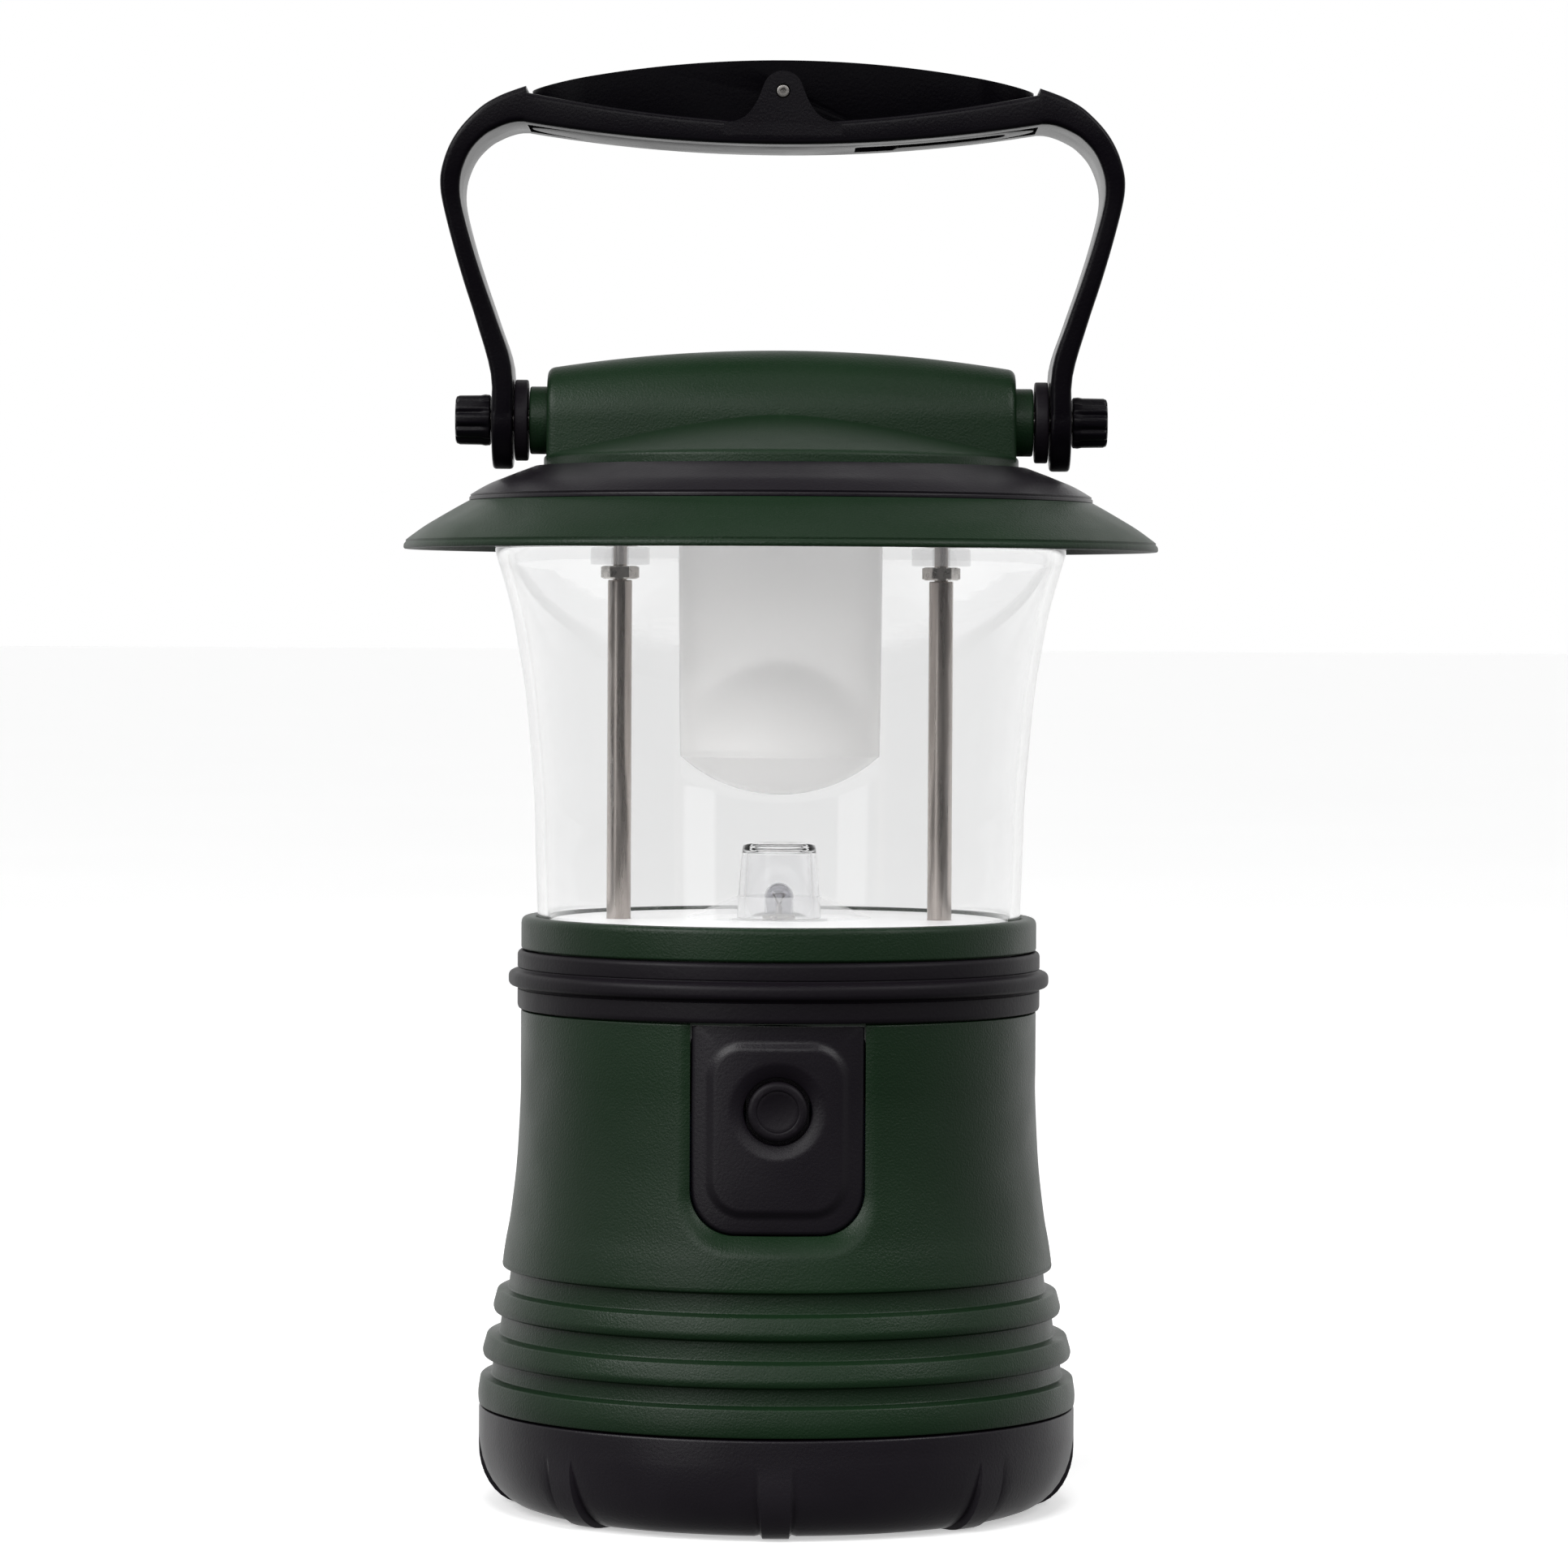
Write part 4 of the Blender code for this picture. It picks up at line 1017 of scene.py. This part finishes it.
def make_hook():
    top = []
    under = []
    for step in range(49):
        x = HOOK_REACH * (1 - step / 24)
        share = abs(x) / HOOK_REACH
        top.append((x, PIVOT_Z + 64.3 - 5.1 * share ** 2))
        under.append((-x, PIVOT_Z + rail_under(x)))
    bm = extrude(top + under, -HOOK_HALF, HOOK_HALF)
    piece = place("hang_hook_fine", bm, HOOK_BLACK, "hang_hook", ["hang_hook"])
    # Seen from above, the bar has half-oval ends.
    plan = []
    for step in range(25):
        angle = math.radians(-90 + 180 * step / 24)
        plan.append((33.2 + 12.0 * math.cos(angle), 8.4 * math.sin(angle)))
    plan += [(-x, -y) for x, y in plan]
    throat = rounded([(13, -3.2, 1.5), (40, -3.2, 2.5), (40, 3.2, 2.5), (21, 3.2, 1.2),
                      (19.5, 10), (13, 10)])
    steps = [("INTERSECT", loose("plan", through_grip(plan))),
             ("DIFFERENCE", loose("throat", through_grip(throat))),
             ("DIFFERENCE", loose("bore", on_pin(cylinder(1.35, -12, 12))))]
    carve(piece, steps, bevel=0.45)
    pin = rounded([(0, -13.2), (0.5, -13.2), (0.55, -13.9), (1.15, -13.9, 0.2), (1.15, 13.9, 0.2),
                   (0.55, 13.9), (0.5, 13.2), (0, 13.2)])
    place("hook_pin_fine", on_pin(pin), STEEL, "bail", ["hook_pin"])


def make_pivots():
    washer = rounded([(2.3, 45.6), (7.3, 45.6, 0.4), (7.3, 48.0, 0.4), (2.3, 48.0)])
    screw = rounded([(0, 34.2), (3.6, 34.2, 0.4), (3.6, 37.3), (1.9, 37.3), (1.9, 57.0, 0.4),
                     (0, 57.0)])
    for side, label in SIDES:
        place("friction_washer_%s_fine" % label, on_pivot(washer, 64, side), RUBBER, "lantern",
              ["friction_washer_" + label])
        place("pivot_screw_%s_fine" % label, on_pivot(screw, 32, side), STEEL, "lantern",
              ["pivot_screw_" + label])
        place("knob_%s_fine" % label, knob_mesh(side), GRIP_BLACK, "knob_" + label,
              ["knob_" + label], sharp=40)


FLUTES = 10
FLUTE_DEPTH = 0.55


def knob_mesh(side):
    """Fluted knob: round-bottomed grooves between broad lands."""
    angles = even_angles(FLUTES * 16)
    rings = []
    for x in (57.3, 52.4):
        rings.append([(side * x, PIVOT_BORE * math.cos(angle), PIVOT_Z + PIVOT_BORE * math.sin(angle))
                      for angle in angles])
    bands = ((52.4, 4.3, 0), (52.6, 4.6, 0.3), (53.4, 4.7, 0.6), (54.2, 4.55, 1),
             (58.0, 4.5, 1), (58.5, 4.3, 0.9), (58.7, 3.9, 0.5), (58.7, 3.2, 0.0), (58.4, 2.9, 0.0),
             (58.4, 0.01, 0.0))
    for x, radius, depth in bands:
        ring = []
        for angle in angles:
            wave = abs(math.sin(angle * FLUTES / 2)) ** 6
            reach = radius - FLUTE_DEPTH * depth * wave
            ring.append((side * x, reach * math.cos(angle), PIVOT_Z + reach * math.sin(angle)))
        rings.append(ring)
    return skin(rings)


# ---------------------------------------------------------------- kept CAD nodes

def finish_cad_nodes():
    """Give the hidden pieces that keep their CAD shape a proper material."""
    kinds = {
        RUBBER: ["cap_seal"],
        BOARD: ["contact_disc"],
        STEEL: ["disc_clip"] + ["contact_spring_%d" % n for n in range(1, 5)],
        BRASS: ["lower_strip_left", "lower_strip_right", "upper_bridge", "terminal_left",
                "terminal_right"],
        JACKET: ["battery_%d" % n for n in range(1, 5)],
        BLACK: ["cell_divider", "hood_core", "switch_body"],
        WHITE: ["bulb_socket"],
    }
    for material, names in kinds.items():
        for name in names:
            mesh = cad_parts[name].data
            mesh.materials.clear()
            mesh.materials.append(material)


# ---------------------------------------------------------------- studio

LAMP_AIM = Vector((0, 0, 0.12))


def make_stage():
    bm = bmesh.new()
    side, front, back = 12000, -100, 40000
    corners = [(-side, front, 0), (side, front, 0), (side, back, 0), (-side, back, 0)]
    bm.faces.new([bm.verts.new(corner) for corner in corners])
    material, tree, shader, coords = start_material("pale_floor")
    tone = two_tone(tree, noise(tree, coords, 3.0), (0.92, 0.92, 0.92), (0.94, 0.94, 0.94))
    tree.links.new(tone, shader.inputs["Base Color"])
    shader.inputs["Roughness"].default_value = 0.9
    shader.inputs["Specular IOR Level"].default_value = 0.1
    glow_white(shader, 0.45)
    floor = place("floor", bm, material, None, [])
    # The floor takes the shadow, but throws no light back onto the lantern.
    floor.visible_diffuse = False
    floor.visible_glossy = False


def add_light(name, kind, location, energy, size):
    """Lamp aimed at the lantern. The place is in metres, the size in metres or a sun's angle."""
    data = bpy.data.lights.new(name, kind)
    data.energy = energy
    if kind == "AREA":
        data.shape = "RECTANGLE"
        data.size, data.size_y = size
    else:
        data.angle = size
    light = bpy.data.objects.new(name, data)
    bpy.context.scene.collection.objects.link(light)
    light.location = location
    light.rotation_mode = "QUATERNION"
    light.rotation_quaternion = (LAMP_AIM - Vector(location)).to_track_quat("-Z", "Y")
    light.visible_camera = False
    return light


def world_ramp(tree, source, stops):
    """Brightness along one direction of the surroundings."""
    ramp = tree.nodes.new("ShaderNodeValToRGB")
    elements = ramp.color_ramp.elements
    elements.remove(elements[1])
    elements[0].position = stops[0][0]
    elements[0].color = (stops[0][1],) * 3 + (1,)
    for position, value in stops[1:]:
        elements.new(position).color = (value, value, value, 1)
    half = tree.nodes.new("ShaderNodeMapRange")
    half.inputs["From Min"].default_value = -1.0
    tree.links.new(source, half.inputs["Value"])
    tree.links.new(half.outputs["Result"], ramp.inputs["Fac"])
    return ramp.outputs["Color"]


def make_studio():
    world = bpy.data.worlds.new("studio")
    bpy.context.scene.world = world
    world.use_nodes = True
    tree = world.node_tree
    room = tree.nodes["Background"]
    seen = tree.nodes.new("ShaderNodeBackground")
    split = tree.nodes.new("ShaderNodeSeparateXYZ")
    tree.links.new(tree.nodes.new("ShaderNodeTexCoord").outputs["Generated"], split.inputs["Vector"])
    depth = world_ramp(tree, split.outputs["Y"], ((0.0, 0.09), (0.31, 0.14), (0.66, 0.38),
                                                  (0.84, 0.85), (1.0, 1.1)))
    height = world_ramp(tree, split.outputs["Z"], ((0.0, 0.30), (0.20, 0.45), (0.38, 0.85), (0.52, 1.0),
                                                   (0.64, 1.05), (0.76, 0.65), (0.85, 0.5), (0.92, 0.40)))
    both = tree.nodes.new("ShaderNodeMixRGB")
    both.blend_type = "MULTIPLY"
    both.inputs["Fac"].default_value = 1.0
    tree.links.new(depth, both.inputs["Color1"])
    tree.links.new(height, both.inputs["Color2"])
    tree.links.new(both.outputs["Color"], room.inputs["Color"])
    room.inputs["Strength"].default_value = 1.0
    # The camera sees plain white, and the lantern is lit by the two ramps.
    seen.inputs["Color"].default_value = (1, 1, 1, 1)
    seen.inputs["Strength"].default_value = 1.0
    paths = tree.nodes.new("ShaderNodeLightPath")
    mix = tree.nodes.new("ShaderNodeMixShader")
    tree.links.new(paths.outputs["Is Camera Ray"], mix.inputs["Fac"])
    tree.links.new(room.outputs[0], mix.inputs[1])
    tree.links.new(seen.outputs[0], mix.inputs[2])
    tree.links.new(mix.outputs[0], tree.nodes["World Output"].inputs["Surface"])
    sun = add_light("top_sun", "SUN", (0.0, -0.5, 1.1), 1.0, math.radians(20))
    sun.visible_glossy = False
    fill = add_light("front_fill", "SUN", (0.15, -1.2, 0.35), 0.6, math.radians(30))
    fill.visible_glossy = False
    fill.visible_transmission = False
    add_light("soft_box", "AREA", (-0.25, -1.2, 0.8), 3.4, (1.4, 0.4))
    add_light("left_box", "AREA", (-1.0, -1.3, 0.3), 1.5, (0.45, 0.9))
    add_light("top_box", "AREA", (0.0, -0.15, 1.5), 1.8, (1.4, 0.5))
    add_light("key_left", "AREA", (-1.1, -0.65, 1.15), 10.0, (0.9, 0.9))
    add_light("key_right", "AREA", (1.1, -0.65, 1.15), 6.0, (0.9, 0.9))


def make_camera():
    data = bpy.data.cameras.new("camera")
    data.sensor_width = 36.0
    aim_at = Vector((CAMERA_SIDE, 0, AIM_HEIGHT))
    stand = Vector((CAMERA_SIDE, -CAMERA_DISTANCE, CAMERA_HEIGHT))
    data.lens = 36.0 * (aim_at - stand).length / FRAME_WIDTH
    data.clip_start = 0.05
    data.clip_end = 100
    camera = bpy.data.objects.new("camera", data)
    bpy.context.scene.collection.objects.link(camera)
    camera.location = stand
    camera.rotation_mode = "QUATERNION"
    look = (aim_at - stand).to_track_quat("-Z", "Y")
    camera.rotation_quaternion = look @ Matrix.Rotation(ROLL, 3, "Z").to_quaternion()
    bpy.context.scene.camera = camera


make_camera()
make_base_cap()
make_housing()
make_switch_panel()
make_button()
make_band_and_collar()
make_globe()
make_reflector()
make_bulb()
make_rods()
make_diffuser()
make_hood()
make_saddle()
make_bail()
make_hook()
make_pivots()
finish_cad_nodes()
make_stage()
make_studio()
bpy.context.scene.view_settings.view_transform = "Standard"
bpy.context.scene.cycles.max_bounces = 24
bpy.context.scene.cycles.transmission_bounces = 24
